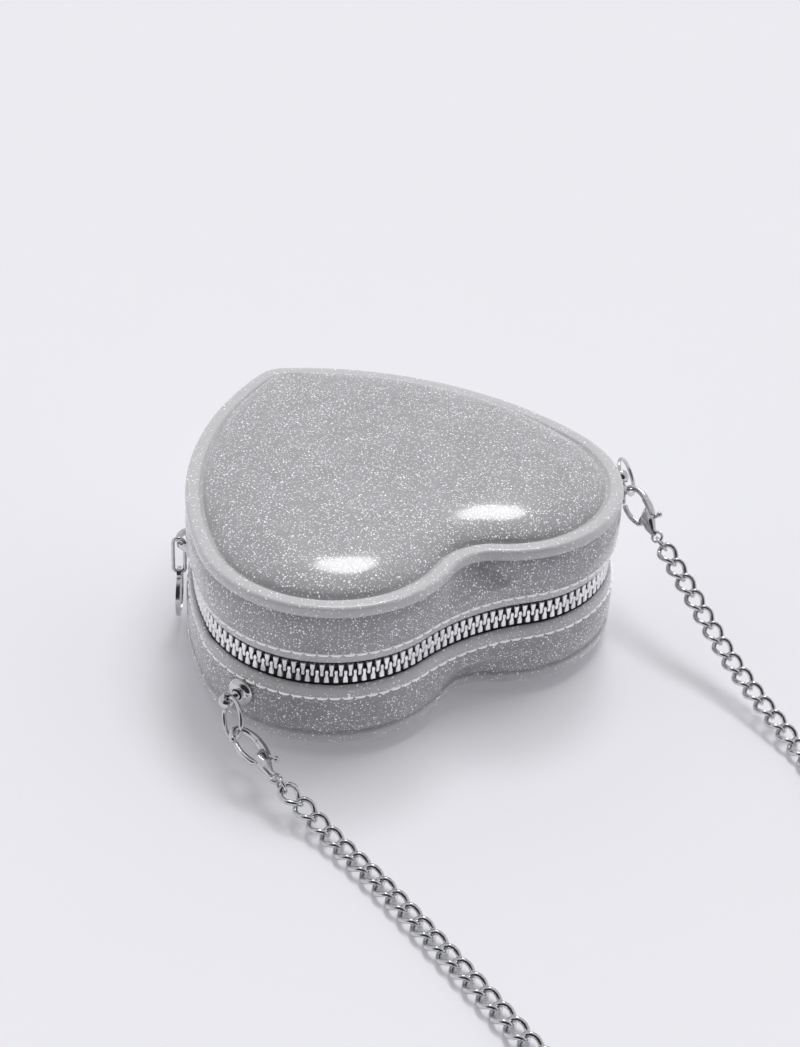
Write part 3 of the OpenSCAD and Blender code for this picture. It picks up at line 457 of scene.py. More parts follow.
@dataclass(frozen=True)
class Plating:
    """Bright nickel plating."""

    name: str
    colour: Triple = (0.68, 0.68, 0.69)
    rough: float = 0.13

    def make(self) -> Material:
        """Build the material: faint ripples and smears keep the mirror from looking perfect."""
        r = Recipe(self.name)
        smear = r.noise(1.7, 3.0)
        return r.finish(
            Base_Color=r.mix(r.step(smear, 0.35, 0.75), self.colour, scaled(self.colour, 0.86)),
            Metallic=1.0, Roughness=r.math("MULTIPLY_ADD", smear, 0.12, self.rough - 0.06),
            Normal=r.bump(r.noise(0.9, 1.0), 0.02, 0.35),
        )


@dataclass(frozen=True)
class DiscEnamel:
    """Dark enamel in a bright border, on the pull's disc. Its lengths are metres."""

    centre: Triple
    radius: float = 0.0058
    border_from: float = 0.0056
    colour: Triple = (0.09, 0.09, 0.095)
    border: Triple = (0.62, 0.62, 0.63)

    def make(self) -> Material:
        """Build the material: the distance from the disc's centre tells enamel from border."""
        r = Recipe("disc_enamel")
        ends = {0: r.place, 1: self.centre}
        away = r.node("ShaderNodeVectorMath", ends, operation="DISTANCE").outputs["Value"]
        edge = r.step(away, self.border_from, self.radius)
        return r.finish(
            Base_Color=r.mix(edge, self.colour, self.border), Coat_Weight=0.5,
            Metallic=r.math("MULTIPLY_ADD", edge, 0.4, 0.6),
            Roughness=r.math("MULTIPLY_ADD", r.noise(0.8), 0.15, 0.14),
        )


@dataclass(frozen=True)
class StudioPaper:
    """The pale floor."""

    colour: Triple = (0.76, 0.76, 0.792)
    glow: Triple = (0.15, 0.15, 0.156)

    def make(self) -> Material:
        """Build the material, matt with a faint mottle."""
        r = Recipe("studio_paper")
        return r.finish(Base_Color=r.mix(r.noise(60.0), self.colour, scaled(self.colour, 0.99)),
                        Roughness=0.9, Specular_IOR_Level=0.15,
                        Emission_Color=self.glow, Emission_Strength=1.0)


@dataclass(frozen=True)
class StrapMount:
    """Where one half's stud and claw sit, from the CAD model's joints."""

    wall: Points
    axis: Points
    bore: Points
    grip: Points
    tail: Points
    rise: Points


MOUNTS = {
    Half.LOWER: StrapMount(*np.array([
        (62.5093, 36.9388, 16.5), (0.93358, 0.358368, 0), (-0.145761, 0.379721, 0.913545),
        (70.2679, 49.9003, 13.6363), (68.5, 66.5, 10.2), (-0.180679, 0.180604, 0.966818),
    ])),
    Half.UPPER: StrapMount(*np.array([
        (-64.7589, 27.7451, 40.7), (-0.993572, 0.113203, 0), (-0.0757477, -0.664829, 0.743145),
        (-73.5865, 30.3049, 34.8595), (-72.6, 46.3, 29.2), (0.701343, 0.214979, 0.679634),
    ])),
}


@dataclass
class HeartForm:
    """The heart's outline of tangent arcs, and the heights of one half from the zip plane."""

    lobe_x: float = 27.5
    lobe_r: float = 37.5
    tip_r: float = 10.5
    tip_drop: float = 74.0
    side_r: float = 106.0
    rim_cleft: float = 14.0
    wall_cleft: float = 60.0
    half_h: float = 28.0
    wall_t: float = 2.0
    hem_h: float = 5.0
    hem_t: float = 1.4
    hem_band: float = 5.5
    swell_r: float = 21.0
    swell_h: float = 11.5
    rim_h: float = 19.8
    rim_w: float = 4.5
    rim_t: float = 3.4
    groove_w: float = 0.8
    groove_depth: float = 1.0
    crown_inset: float = 28.0
    crown_y: float = 14.0
    crease_w: float = 14.0
    crease_run: float = 10.0
    soft_from: float = -10.0
    soft_run: float = 35.0
    dome_crowd: float = 1.8
    tape_gap: float = 0.3
    tape_t: float = 0.6
    steps: tuple[int, int, int, int] = (12, 44, 64, 18)

    def __post_init__(self) -> None:
        """Work out the arcs' centres and the profile's derived heights."""
        shift = (self.tip_drop + self.tip_r - self.lobe_r) / 2
        self.lobe_c = np.array([self.lobe_x, shift])
        self.tip_c = np.array([0.0, shift - self.tip_drop])
        between = self.tip_c - self.lobe_c
        span = np.linalg.norm(between)
        way = between / span
        to_lobe, to_tip = self.side_r - self.lobe_r, self.side_r - self.tip_r
        ahead = (to_lobe**2 - to_tip**2 + span**2) / (2 * span)
        aside = math.sqrt(to_lobe**2 - ahead**2)
        self.side_c = self.lobe_c + ahead * way + aside * outward(way)
        self.side_top = math.atan2(*(self.lobe_c - self.side_c)[::-1])
        self.rim_top = self.rim_h + self.rim_t
        self.groove_h = self.rim_top - self.groove_depth
        self.foot_inset = self.rim_w + self.groove_w
        self.band_inset = float(self.wall_inset(self.hem_h)) + self.hem_t
        self.tape_inset = self.band_inset + self.tape_gap
        self.band_top = self.hem_h + self.hem_band

    def wall_inset(self, h: float | Points) -> Points:
        """Return the wall's inset at a height: a circle of radius swell_r bulging outwards."""
        return self.swell_r - np.sqrt(self.swell_r**2 - (np.asarray(h, float) - self.swell_h) ** 2)

    def cleft_y(self, cleft: float | Points) -> Points:
        """Return the height along Y of the cleft circle's centre, which touches both lobes."""
        return self.lobe_c[1] + np.sqrt((self.lobe_r + cleft) ** 2 - self.lobe_x**2)

    def rings(self, inset: Points, cleft: Points) -> Points:
        """Return closed outlines, one for each pair of inset and cleft radius.

        A half runs from the tip along the side and the lobe into the cleft, and the other half
        is its mirror image.

        Args:
            inset: Insets, (rows,).
            cleft: Radii of the cleft's round at no inset, one or (rows,).

        Returns:
            Points of shape (rows, columns, 2).
        """
        i = np.asarray(inset, float)[:, None]
        k = np.broadcast_to(np.asarray(cleft, float).reshape(-1, 1), i.shape)
        tip_r = np.maximum(self.tip_r - i, 1.0)
        tip_y = self.side_c[1] - np.sqrt((self.side_r - i - tip_r) ** 2 - self.side_c[0] ** 2)
        tip_a = np.arctan2(tip_y - self.side_c[1], -self.side_c[0])
        cleft_y = self.cleft_y(k)
        end = np.arctan2(cleft_y - self.lobe_c[1], -self.lobe_c[0])
        tip_n, side_n, lobe_n, cleft_n = self.steps
        down, top = -np.pi / 2, self.side_top
        half = np.concatenate([
            arc(np.hstack([0 * tip_y, tip_y]), tip_r, down, tip_a, tip_n),
            arc(self.side_c, self.side_r - i, tip_a, top, side_n),
            arc(self.lobe_c, self.lobe_r - i, top, end, lobe_n),
            arc(np.hstack([0 * cleft_y, cleft_y]), k + i, end - np.pi, down, cleft_n),
            np.hstack([0 * cleft_y, cleft_y - k - i])[:, None],
        ], 1)
        return np.concatenate([half, half[:, -2:0:-1] * np.array([-1, 1])], 1)

    def inset_of(self, x: Points, y: Points) -> Points:
        """Return how far inside the rim's outline points lie, by the arc of their own sector."""
        side = np.hypot(x - self.side_c[0], y - self.side_c[1])
        lobe = np.hypot(x - self.lobe_c[0], y - self.lobe_c[1])
        cy = float(self.cleft_y(self.rim_cleft))
        cleft = np.hypot(x, y - cy) - self.rim_cleft
        in_side = np.arctan2(y - self.side_c[1], x - self.side_c[0]) < self.side_top
        in_cleft = (x * (self.lobe_c[1] - cy) - (y - cy) * self.lobe_c[0] > 0) & (lobe > 1)
        return np.where(in_side, self.side_r - side, np.where(in_cleft, cleft, self.lobe_r - lobe))

    def dome_height(self, xy: Points) -> Points:
        """Return the dome's height over points of the plan.

        With u the share of the way from the level crown to the groove, the height above the
        groove is rise * (1 - u^2.8)^0.38 towards the tip, a full cushion with a steep edge, and
        rise * (0.6 (1 - u^2) + 0.4 (1 - u^6)^0.4) towards the lobes, where it falls more gently.
        The inset is the smaller of the insets from the two sides, with the crease between them
        rounded over a width that grows from nothing at the groove.
        """
        x, y = np.abs(xy[..., 0]), xy[..., 1]
        a = self.inset_of(x, y)
        b = np.where(y < self.lobe_c[1] - 20, self.inset_of(-x, y), a + 99)
        least = np.minimum(a, b)
        width = self.crease_w * smooth_step((least - self.foot_inset) / self.crease_run) + 1e-6
        inset = least - np.maximum(width - np.abs(a - b), 0) ** 2 / (4 * width)
        run = self.crown_inset - self.foot_inset
        u = np.clip((self.crown_inset - inset) / run, 0, 1)
        full = (1 - u**2.8) ** 0.38
        soft = 0.6 * (1 - u**2) + 0.4 * (1 - u**6) ** 0.4
        share = full + (soft - full) * smooth_step((y - self.soft_from) / self.soft_run)
        return self.groove_h + (self.half_h - self.groove_h) * share

    def dome(self, inset: float, drop: float, rows: int) -> Points:
        """Return rings of the dome from an inset to the crown's middle, lowered by drop.

        The rings lie closer together near the edge, at the shares (k / rows)^dome_crowd.
        """
        foot = self.rings([inset], self.rim_cleft)
        t = ((np.arange(rows) / rows) ** self.dome_crowd)[:, None, None]
        xy = foot * (1 - t) + np.array([0.0, self.crown_y]) * t
        return np.concatenate([xy, self.dome_height(xy)[..., None] - drop], -1)

    def lift(self, rows: Points) -> Points:
        """Return rings for rows of inset, height and cleft radius."""
        inset, height, cleft = np.array(rows, float).T
        xy = self.rings(inset, cleft)
        z = np.broadcast_to(height[:, None, None], (*xy.shape[:2], 1))
        return np.concatenate([xy, z], -1)

    def place(self, points: Points, half: Half) -> Points:
        """Return points of one half in the CAD frame; the lower half is the upper turned over."""
        return points * np.array([half.value, 1, half.value]) + self.half_h * UP

    def close(self, rings: Points, half: Half) -> Surface:
        """Join rings into a surface with a pole at each end, in the CAD frame."""
        n, m = rings.shape[:2]
        points = np.concatenate([rings.reshape(-1, 3), rings[[0, -1]].mean(1)])
        edge, last = [(k, (k + 1) % m) for k in range(m)], (n - 1) * m
        caps = [[n * m, b, a] for a, b in edge] + [[n * m + 1, last + a, last + b] for a, b in edge]
        return self.place(points, half), grid_quads(n, m), caps


@dataclass
class HalfShell:
    """One moulded half: shell, stitching and lining."""

    half: Half
    form: HeartForm
    mount: StrapMount
    hem_round: float = 0.45
    hem_grain: float = 0.3
    hem_drop: float = 1.2
    hem_fade: float = 4.0
    slider_end: float = -10.0
    gusset_end: float = -33.0
    rim_grain: float = 0.34
    rim_flare: float = 0.85
    rim_round: float = 1.15
    bead_round: float = 0.55
    groove_round: float = 0.65
    seam_depth: float = 0.14
    seam_w: float = 0.42
    pull_room: float = 0.16
    pull_h: float = 9.0
    pull_at: tuple[float, float] = (57.0, -3.0)
    pull_reach: float = 22.0
    stitch_h: float = 7.4
    stitch_pitch: float = 3.5
    stitch_raise: float = 0.2
    stitch_sink: float = 0.4
    stitch_share: float = 0.9
    thread_r: float = 0.3
    lining_gap: float = 0.2
    lining_t: float = 0.6

    def wall_rows(self) -> Points:
        """Return inset, height, cleft radius and glitter of the outside, from hem to groove.

        The wall is the form's bulge, flared by a smooth step towards the rim, with a seam under
        the stitches, a rolled hem, and a little room for the pull's ring.
        """
        f, hem_r, rim_r, bead_r = self.form, self.hem_round, self.rim_round, self.bead_round
        hem = corner(f.band_inset - hem_r, f.hem_h + hem_r, hem_r, 0, -90, 4)
        h = np.concatenate([np.linspace(f.hem_h + 0.1, 9.4, 24), np.linspace(9.9, 19.5, 22)])
        rise = smooth_step((h - f.swell_h) / (f.rim_h - f.swell_h))
        cleft = 1 / (1 / f.wall_cleft + (1 / f.rim_cleft - 1 / f.wall_cleft) * rise)
        inset = f.wall_inset(h) - self.rim_flare * rise
        inset += self.seam_depth * swell(h, self.stitch_h, self.seam_w)
        inset += self.pull_room * swell(h, self.pull_h, 1.2)
        inset += 0.4 * np.exp(-(h - f.hem_h - 0.1) / 0.22)
        glitter = 0.36 + 0.52 / (1 + np.exp(-(h - self.stitch_h - 0.4) / 0.25))
        rim = np.concatenate([
            [(0.82, f.rim_h - 0.1), (0.6, f.rim_h)],
            corner(bead_r, f.rim_h + 0.6, bead_r, -90, -180, 4),
            corner(rim_r, f.rim_top - rim_r, rim_r, 180, 90, 6),
            corner(f.rim_w - rim_r, f.rim_top - rim_r, rim_r, 90, 20, 6),
            corner(f.rim_w + self.groove_round, f.groove_h + self.groove_round,
                   self.groove_round, 200, 270, 4),
        ])
        return np.concatenate([
            np.insert(hem, [2, 2], [f.wall_cleft, self.hem_grain], axis=1),
            np.column_stack([inset, h, cleft, glitter]),
            np.insert(rim, [2, 2], [f.rim_cleft, self.rim_grain], axis=1),
        ])

    def shell(self) -> tuple[Surface, Points]:
        """Return the closed shell and its glitter: inner dome, inner wall, hem, outside, dome."""
        f, t = self.form, self.form.wall_t
        wall_top = float(f.wall_inset(f.rim_h))
        inner_wall = f.lift([
            (f.foot_inset + t / 2, f.rim_h - t, f.rim_cleft),
            (wall_top + t, f.rim_h - t, f.wall_cleft),
            (wall_top + t - 0.4, f.rim_h - t - 1.6, f.wall_cleft),
            (f.band_inset, f.band_top, f.wall_cleft),
            (f.band_inset, f.hem_h + 1.2, f.wall_cleft),
        ])
        rows = self.wall_rows()
        inside = np.concatenate([f.dome(f.foot_inset + t, t, 12)[::-1], self.close_hem(inner_wall)])
        dome = f.dome(f.foot_inset, 0, 40)
        rings = np.concatenate([inside, self.close_hem(f.lift(rows[:, :3])), dome])
        marks = np.concatenate([
            np.full(len(inside), self.hem_grain), rows[:, 3],
            np.clip(np.linspace(0.5, 3.2, len(dome)), 0, 1),
        ])
        marks = np.concatenate([np.repeat(marks, rings.shape[1]), marks[[0, -1]]])
        return f.close(rings, self.half), marks

    def close_hem(self, rings: Points) -> Points:
        """Draw the hem towards the teeth, but for the stretch of the slider and the gusset.

        The drop falls by a smooth step from the hem's edge up to the stitches, and comes in by
        another along the angle about the side arc's centre.
        """
        f = self.form
        x, y, h = np.moveaxis(rings, -1, 0)
        down = 1 - (h - f.hem_h + 0.6) / (self.stitch_h - f.hem_h)
        angle = np.degrees(np.arctan2(y - f.side_c[1], np.abs(x) - f.side_c[0]))
        start = np.where(x * self.half.value > 0, self.slider_end, self.gusset_end)
        drop = smooth_step(down) * smooth_step((angle - start) / self.hem_fade)
        return np.stack([x, y, h - self.hem_drop * drop], -1)

    def pad(self) -> Surface:
        """Return the thick boss that the stud's screw passes through, inside the wall."""
        reach = self.form.band_inset + 1
        profile = np.array([(1.55, -reach), (3.8, -reach), (3.8, -1.2), (1.55, -0.7)])
        return turned(profile, self.mount.wall, self.mount.axis, 32, True)

    def stitches(self) -> Surface:
        """Return one capsule of thread for each stitch, laid along the seam.

        A stitch runs over nine tenths of its pitch, its radius falls to a third at both ends, and
        its ends sink into the seam. The stitches that the pull's ring passes lie lower.
        """
        f = self.form
        loop = f.rings([f.wall_inset(self.stitch_h)], f.wall_cleft)[0]
        loop = np.concatenate([loop, loop[:1]])
        length = distances(loop)[-1]
        count = int(length / self.stitch_pitch)
        rings, sides = 7, 6
        share = np.linspace(-1, 1, rings)
        s = (np.arange(count)[:, None] + 0.5 + self.stitch_share / 2 * share) * length / count
        xy = along_route(loop, s)
        out = outward(heading(loop, s, 0.05))
        away = np.linalg.norm(xy * [self.half.value, 1] - np.array(self.pull_at), axis=-1)
        flush = self.stitch_sink * np.clip((self.pull_reach - away) / 4, 0, 1)
        lift = self.stitch_raise - self.stitch_sink * share**6 - flush
        radius = self.thread_r * (0.35 + 0.65 * (1 - share**4))
        ring = ellipse(radius, radius, sides)
        flat = (xy + lift[..., None] * out)[:, :, None] + ring[..., :1] * out[:, :, None]
        height = self.stitch_h + np.broadcast_to(ring[..., 1:], (*flat.shape[:-1], 1))
        capsules = f.place(np.concatenate([flat, height], -1), self.half)
        return join(*(skin(capsule) for capsule in capsules))

    def lining(self) -> Surface:
        """Return the closed cloth lining, which lies a small gap inside the shell."""
        f = self.form
        drop, wall_top = f.wall_t + self.lining_gap, float(f.wall_inset(f.rim_h))

        def layer(depth: float) -> Points:
            """Return the lining's rings, crown first, at a depth below its outer face."""
            top = f.rim_h - f.wall_t - self.lining_gap / 2 - depth
            wall = f.lift([
                (f.foot_inset + drop - 1, top, f.rim_cleft),
                (wall_top + 3.4 + depth, top, f.wall_cleft),
                (wall_top + 2.5 + depth, top - 0.8, f.wall_cleft),
                (wall_top + 2.0 + depth, top - 2.2, f.wall_cleft),
                (f.band_inset + 0.25 + depth, f.band_top + 0.05, f.wall_cleft),
            ])
            return np.concatenate([f.dome(f.foot_inset + drop, drop + depth, 14)[::-1], wall])

        return f.close(np.concatenate([layer(0), layer(self.lining_t)[::-1]]), self.half)

    def build(self, vinyl: Material, thread: Material, cloth: Material) -> None:
        """Make the half's pieces and hang them on its body."""
        tag, body = self.half.tag, self.half.body
        surface, marks = self.shell()
        pad = self.pad()
        marks = np.concatenate([marks, np.full(len(pad[0]), self.hem_grain)])
        build_object(f"{tag}_vinyl_shell", join(surface, pad), vinyl, "glitter_leather", body,
                     f"{tag}_shell", marks=marks)
        build_object(f"{tag}_stitching", self.stitches(), thread, "lining_fabric", body)
        build_object(f"{tag}_cloth_lining", self.lining(), cloth, "lining_fabric", body,
                     f"{tag}_lining")
        LOG.info("%s half: shell of %d points", tag, len(surface[0]))


@dataclass
class Zipper:
    """The two rows of teeth, their tapes and the folded gusset round the tip."""

    form: HeartForm
    pitch: float = 2.5
    depth: float = 2.6
    root_h: float = 3.2
    reach: float = 1.1
    root_w: float = 1.6
    neck_w: float = 0.8
    head_w: float = 1.1
    corner_cut: float = 0.22
    tape_edge: float = 1.4
    slider_angle: float = math.radians(-32)
    slider_room: float = 8.3
    side_points: int = 60
    fold_inset: float = 7.5
    fold_grain: float = 0.3

    def __post_init__(self) -> None:
        """Work out where the zipper starts and how the teeth are shared out."""
        f = self.form
        self.front = self.slider_angle - self.slider_room / f.side_r
        self.tooth_inset = f.tape_inset + f.tape_t / 2
        self.tape_top = f.band_top - 0.1
        self.line = self.path(self.slider_angle)
        side_run = (f.side_top - self.slider_angle) * (f.side_r - self.tooth_inset)
        self.count = int(distances(self.line)[-1] / self.pitch - 1)
        self.side_count = int(side_run / self.pitch)

    def path(self, start: float) -> Points:
        """Return the teeth's line, from one side's start angle round the lobes to the other's."""
        f, inset, n = self.form, self.tooth_inset, self.side_points
        cy = float(f.cleft_y(f.wall_cleft))
        turn = math.atan2(cy - f.lobe_c[1], -f.lobe_c[0])
        mirror = np.array([-1, 1])
        return np.concatenate([
            arc(f.side_c, f.side_r - inset, start, f.side_top, n),
            arc(f.lobe_c, f.lobe_r - inset, f.side_top, turn, 2 * n),
            arc([0, cy], f.wall_cleft + inset, turn - math.pi, -turn, n),
            arc(mirror * f.lobe_c, f.lobe_r - inset, math.pi - turn, math.pi - f.side_top, 2 * n),
            arc(mirror * f.side_c, f.side_r - inset, math.pi - f.side_top, math.pi - start, n + 1),
        ])

    def tooth(self) -> tuple[Points, Points]:
        """Return one tooth: a root clamped on the tape, a neck and a rounded head.

        Each row of the loft is a rectangle with cut corners; its width follows the tooth's
        profile, and the head is drawn in at its end.
        """
        r, c, root, head, neck = self.reach, self.corner_cut, self.root_w, self.head_w, self.neck_w
        height, width, share = np.array([
            (self.root_h, root * 0.42, 0.86), (self.root_h - 0.25, root / 2, 1.0),
            (r * 1.6, root * 0.44, 1.0), (r / 2, neck / 2, 0.96), (-r / 3, head / 2, 0.94),
            (-r * 0.8, head / 2 - neck / 8, 0.88), (-r, neck / 4, 0.74),
        ]).T[..., None]
        x, y = np.array([
            (-1, -1 + c), (-1 + c, -1), (1 - c, -1), (1, -1 + c),
            (1, 1 - c), (1 - c, 1), (-1 + c, 1), (-1, 1 - c),
        ]).T
        rings = np.stack([x * share * self.depth / 2, y * width, height + 0 * x], -1)
        ends = np.array([[0, 1, 2, 3], [0, 3, 4, 7], [7, 4, 5, 6]])
        points, quads, _ = skin(rings)
        return points, np.concatenate([quads[:, ::-1], ends, ends[:, ::-1] + len(points) - len(x)])

    def row(self, half: Half, first: int, last: int) -> Surface:
        """Return a row of teeth, numbered from the slider along the zipper."""
        shift = 0.5 if half is Half.UPPER else 1.0
        s = (np.arange(first, last + 1) + shift) * self.pitch
        flat = heading(self.line, s, 0.1)
        level = np.zeros((len(s), 1))
        out, ahead = np.hstack([outward(flat), level]), np.hstack([flat, level])
        at = np.hstack([along_route(self.line, s), level + self.form.half_h])
        return copies(*self.tooth(), at, (out, ahead, half.value * UP + np.zeros_like(out)))

    def strip(self, half: Half, span: slice) -> Surface:
        """Return a stretch of tape: an upright band with a rolled edge beside the teeth."""
        line = self.path(self.front)[span]
        out = outward(unit(np.gradient(line, axis=0)))
        t, lo, hi = self.form.tape_t / 2, self.tape_edge, self.tape_top
        section = np.array([
            (-t, lo + 0.3), (-t * 0.8, lo + 0.05), (0, lo), (t * 0.8, lo + 0.05), (t, lo + 0.3),
            (t, hi), (-t, hi),
        ])
        path = np.insert(line, 2, self.form.half_h, axis=1)
        side = np.insert(out, 2, 0, axis=1)
        return sweep(path, section, side, half.value * UP)

    def gusset(self) -> Surface:
        """Return the folded strip round the tip, from one end of the zipper to the other."""
        f, wall = self.form, self.form.tape_inset
        h = np.concatenate([
            np.linspace(self.tape_top, f.hem_h, 8), np.linspace(f.hem_h - 0.4, 0, 9),
        ])
        share = np.clip((f.hem_h - h) / f.hem_h, 0, 1)
        inset = wall + (self.fold_inset - wall) * (share * 0.9 + 0.1 * np.sin(share * np.pi / 2))
        front = np.concatenate([np.stack([inset, h], -1), np.stack([inset, -h], -1)[-2::-1]])
        inset, h = np.concatenate([front, front[::-1] + np.array([f.tape_t * 1.1, 0])]).T
        tip_a = math.atan2(f.tip_c[1] - f.side_c[1], -f.side_c[0])
        reach = (self.front - 0.3 / f.side_r - tip_a) / (f.side_top - tip_a)
        upto = f.steps[0] + int(round(f.steps[1] * reach))
        xy = f.rings(inset, f.wall_cleft)[:, np.r_[-upto:0, 0:upto + 1]].transpose(1, 0, 2)
        z = np.broadcast_to(h + f.half_h, xy.shape[:2])
        points, quads, _ = skin(np.concatenate([xy, z[..., None]], -1))
        m = len(h)
        ends = np.array([[j, j + 1, m - 2 - j, m - 1 - j] for j in range(m // 2 - 1)])
        quads = np.concatenate([quads, ends[:, ::-1], ends + len(points) - m])
        return points, quads, []

    def build(self, metal: Material, weave: Material, vinyl: Material) -> None:
        """Make teeth and tapes, each on the half that carries it, and the gusset on no body."""
        side, n = self.side_count, self.side_points
        for half in Half:
            tag, last = half.tag, self.count - (1 if half is Half.UPPER else 2)
            runs = (
                ("long", side, last, slice(n, None), f"{tag}_teeth", f"{tag}_tape"),
                ("side", 0, side - 1, slice(n), "side_teeth", "side_tapes"),
            )
            for which, first, end, _, node, _ in runs:
                build_object(f"{tag}_{which}_teeth", self.row(half, first, end), metal,
                             "zipper_metal", half.body, node, smooth=False)
            for which, _, _, span, _, node in runs:
                build_object(f"{tag}_{which}_tape", self.strip(half, span), weave,
                             "zipper_tape", half.body, node)
        surface = self.gusset()
        gusset = build_object("folded_gusset", surface, vinyl, "glitter_leather", None,
                              "hinge_gusset", marks=np.full(len(surface[0]), self.fold_grain))
        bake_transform(gusset)
        LOG.info("zipper: %d teeth a row", self.count)


@dataclass
class Claw:
    """A lobster claw: hook, body, tail eye and gate. Its pin and jump ring are CAD nodes."""

    half: Half
    mount: StrapMount
    length: float = 15.5
    width: float = 8.4
    bow: float = 1.5
    wire: float = 1.2
    play: float = 0.5
    eye_off: float = 1.6
    eye_r: float = 1.52
    chain_off: float = 3.4
    hook_middle: float = 4.2

    def __post_init__(self) -> None:
        """Work out the claw's own axes: x to the tail, z through its thickness."""
        m = self.mount
        self.at = m.grip
        x = unit(m.tail - m.grip)
        z = unit(m.rise - (m.rise @ x) * x)
        self.axes = np.stack([x, np.cross(z, x), z])
        self.x0 = -self.wire / 2 - self.bow - self.play
        self.x1 = self.length + self.bow / 2
        self.eye_x = self.length + self.eye_off
        self.chain_start = self.world(np.array([self.eye_x + self.chain_off, 0, 0]))

    def edge(self, x: Points) -> Points:
        """Return the claw's half width: an egg, half the width times sin(180 share^0.8)."""
        share = np.clip((np.asarray(x, float) - self.x0) / (self.x1 - self.x0), 0, 1)
        return self.width / 2 * np.sin(np.pi * share**0.8)

    def world(self, points: Points) -> Points:
        """Return points of the claw's own frame in the CAD frame."""
        return self.at + points @ self.axes

    def round_ends(self, t: Points, first: float, last: float) -> Points:
        """Return a scale that falls off like a circle over the first and last shares of a tube."""
        near = np.clip(np.minimum(t / first, (1 - t) / last if last else 1), 0, 1)
        return np.sqrt(np.clip(1 - (1 - near) ** 2, 0.02, 1))

    def level(self, line: Points, count: int) -> tuple[Points, Points]:
        """Return a plane line at even distances, in space, and each point's share of it."""
        t = np.linspace(0, 1, count)
        return np.insert(along_route(line, t * distances(line)[-1]), 2, 0, axis=1), t

    def hook(self) -> Surface:
        """Return the hook: an oval tube round the bow that swells towards the body.

        Its middle line is (m - p cos a, q sin a) from the mouth round to the far side, then the
        outline drawn in by half the tube's width.
        """
        reach = self.hook_middle - (self.x0 + self.bow / 2)
        a, x = np.radians(np.linspace(-66, 90, 40)), np.linspace(4.9, 10.5, 14)
        line, t = self.level(np.concatenate([
            np.stack([self.hook_middle - reach * np.cos(a), 3.4 * np.sin(a)], -1),
            np.stack([x, self.edge(x) - 0.98], -1),
        ]), 60)
        grow, scale = smooth_step((t - 0.45) / 0.35), self.round_ends(t, 0.05, 0)
        ring = ellipse((0.88 + 0.3 * grow) * scale, (1.05 + 0.45 * grow) * scale, 16, 0.85)
        return tube(line, ring, UP)

    def body(self) -> Surface:
        """Return the solid body: rounded sections between a left and a right edge."""
        x = np.linspace(6.6, self.eye_x - 0.8, 34)
        right = np.maximum(self.edge(x), 0.95)
        at = np.array([6.6, 9.2, 11.8, 13.0, self.eye_x])
        inner = [self.edge(at[0]) - 1.9, *(np.array([1.5, 0.7, 0]) - self.edge(at[1:4])), -0.95]
        left = np.interp(x, at, inner)
        half_t = np.interp(x, [6.6, 9.0, 11.5, 14.0, 16.6], [0.9, 1.6, 1.7, 1.2, 0.6])
        scale = self.round_ends((x - x[0]) / (x[-1] - x[0]), 0.12, 0.05)
        ring = ellipse((right - left) / 2 * scale, half_t * scale, 22, 0.85)
        return sweep(np.stack([x, (left + right) / 2, 0 * x], -1), ring, ACROSS, UP)

    def eye(self) -> Surface:
        """Return the tail eye, a flat ring."""
        line = self.eye_x * ALONG + np.insert(ellipse(self.eye_r, self.eye_r, 32), 2, 0, axis=1)
        return tube(line, ellipse(0.42, 0.6, 10, 0.85), UP, True)

    def gate(self) -> Surface:
        """Return the lever: the gate along the mouth, the arm to the pivot, and the thumb nub."""
        x = np.linspace(2.1, 10.0, 18)
        arm = [(10.9, -1.4), (11.16, 0.84), (11.4, 3.2), (11.56, 5.1)]
        line, t = self.level(np.concatenate([np.stack([x, 0.72 - self.edge(x)], -1), arm]), 70)
        thin = np.clip((t - 0.5) / 0.05, 0, 1) * np.clip((0.93 - t) / 0.03, 0, 1)
        scale = self.round_ends(t, 0.03, 0.04)
        ring = ellipse((0.8 - 0.3 * thin) * scale, (0.85 - 0.3 * thin) * scale, 12, 0.7)
        return tube(line, ring, UP)

    def build(self, metal: Material) -> list[Piece]:
        """Make the claw's body and its lever in place of their CAD nodes."""
        tag, cast = self.half.tag, join(self.hook(), self.body(), self.eye())
        return [
            build_object(f"{tag}_{name}", (self.world(points), *rest), metal, "hardware_metal",
                         body, f"{tag}_{node}")
            for name, (points, *rest), body, node in (
                ("claw_cast", cast, self.half.body, "claw"),
                ("claw_gate", self.gate(), f"{tag}_lever", "lever"),
            )
        ]


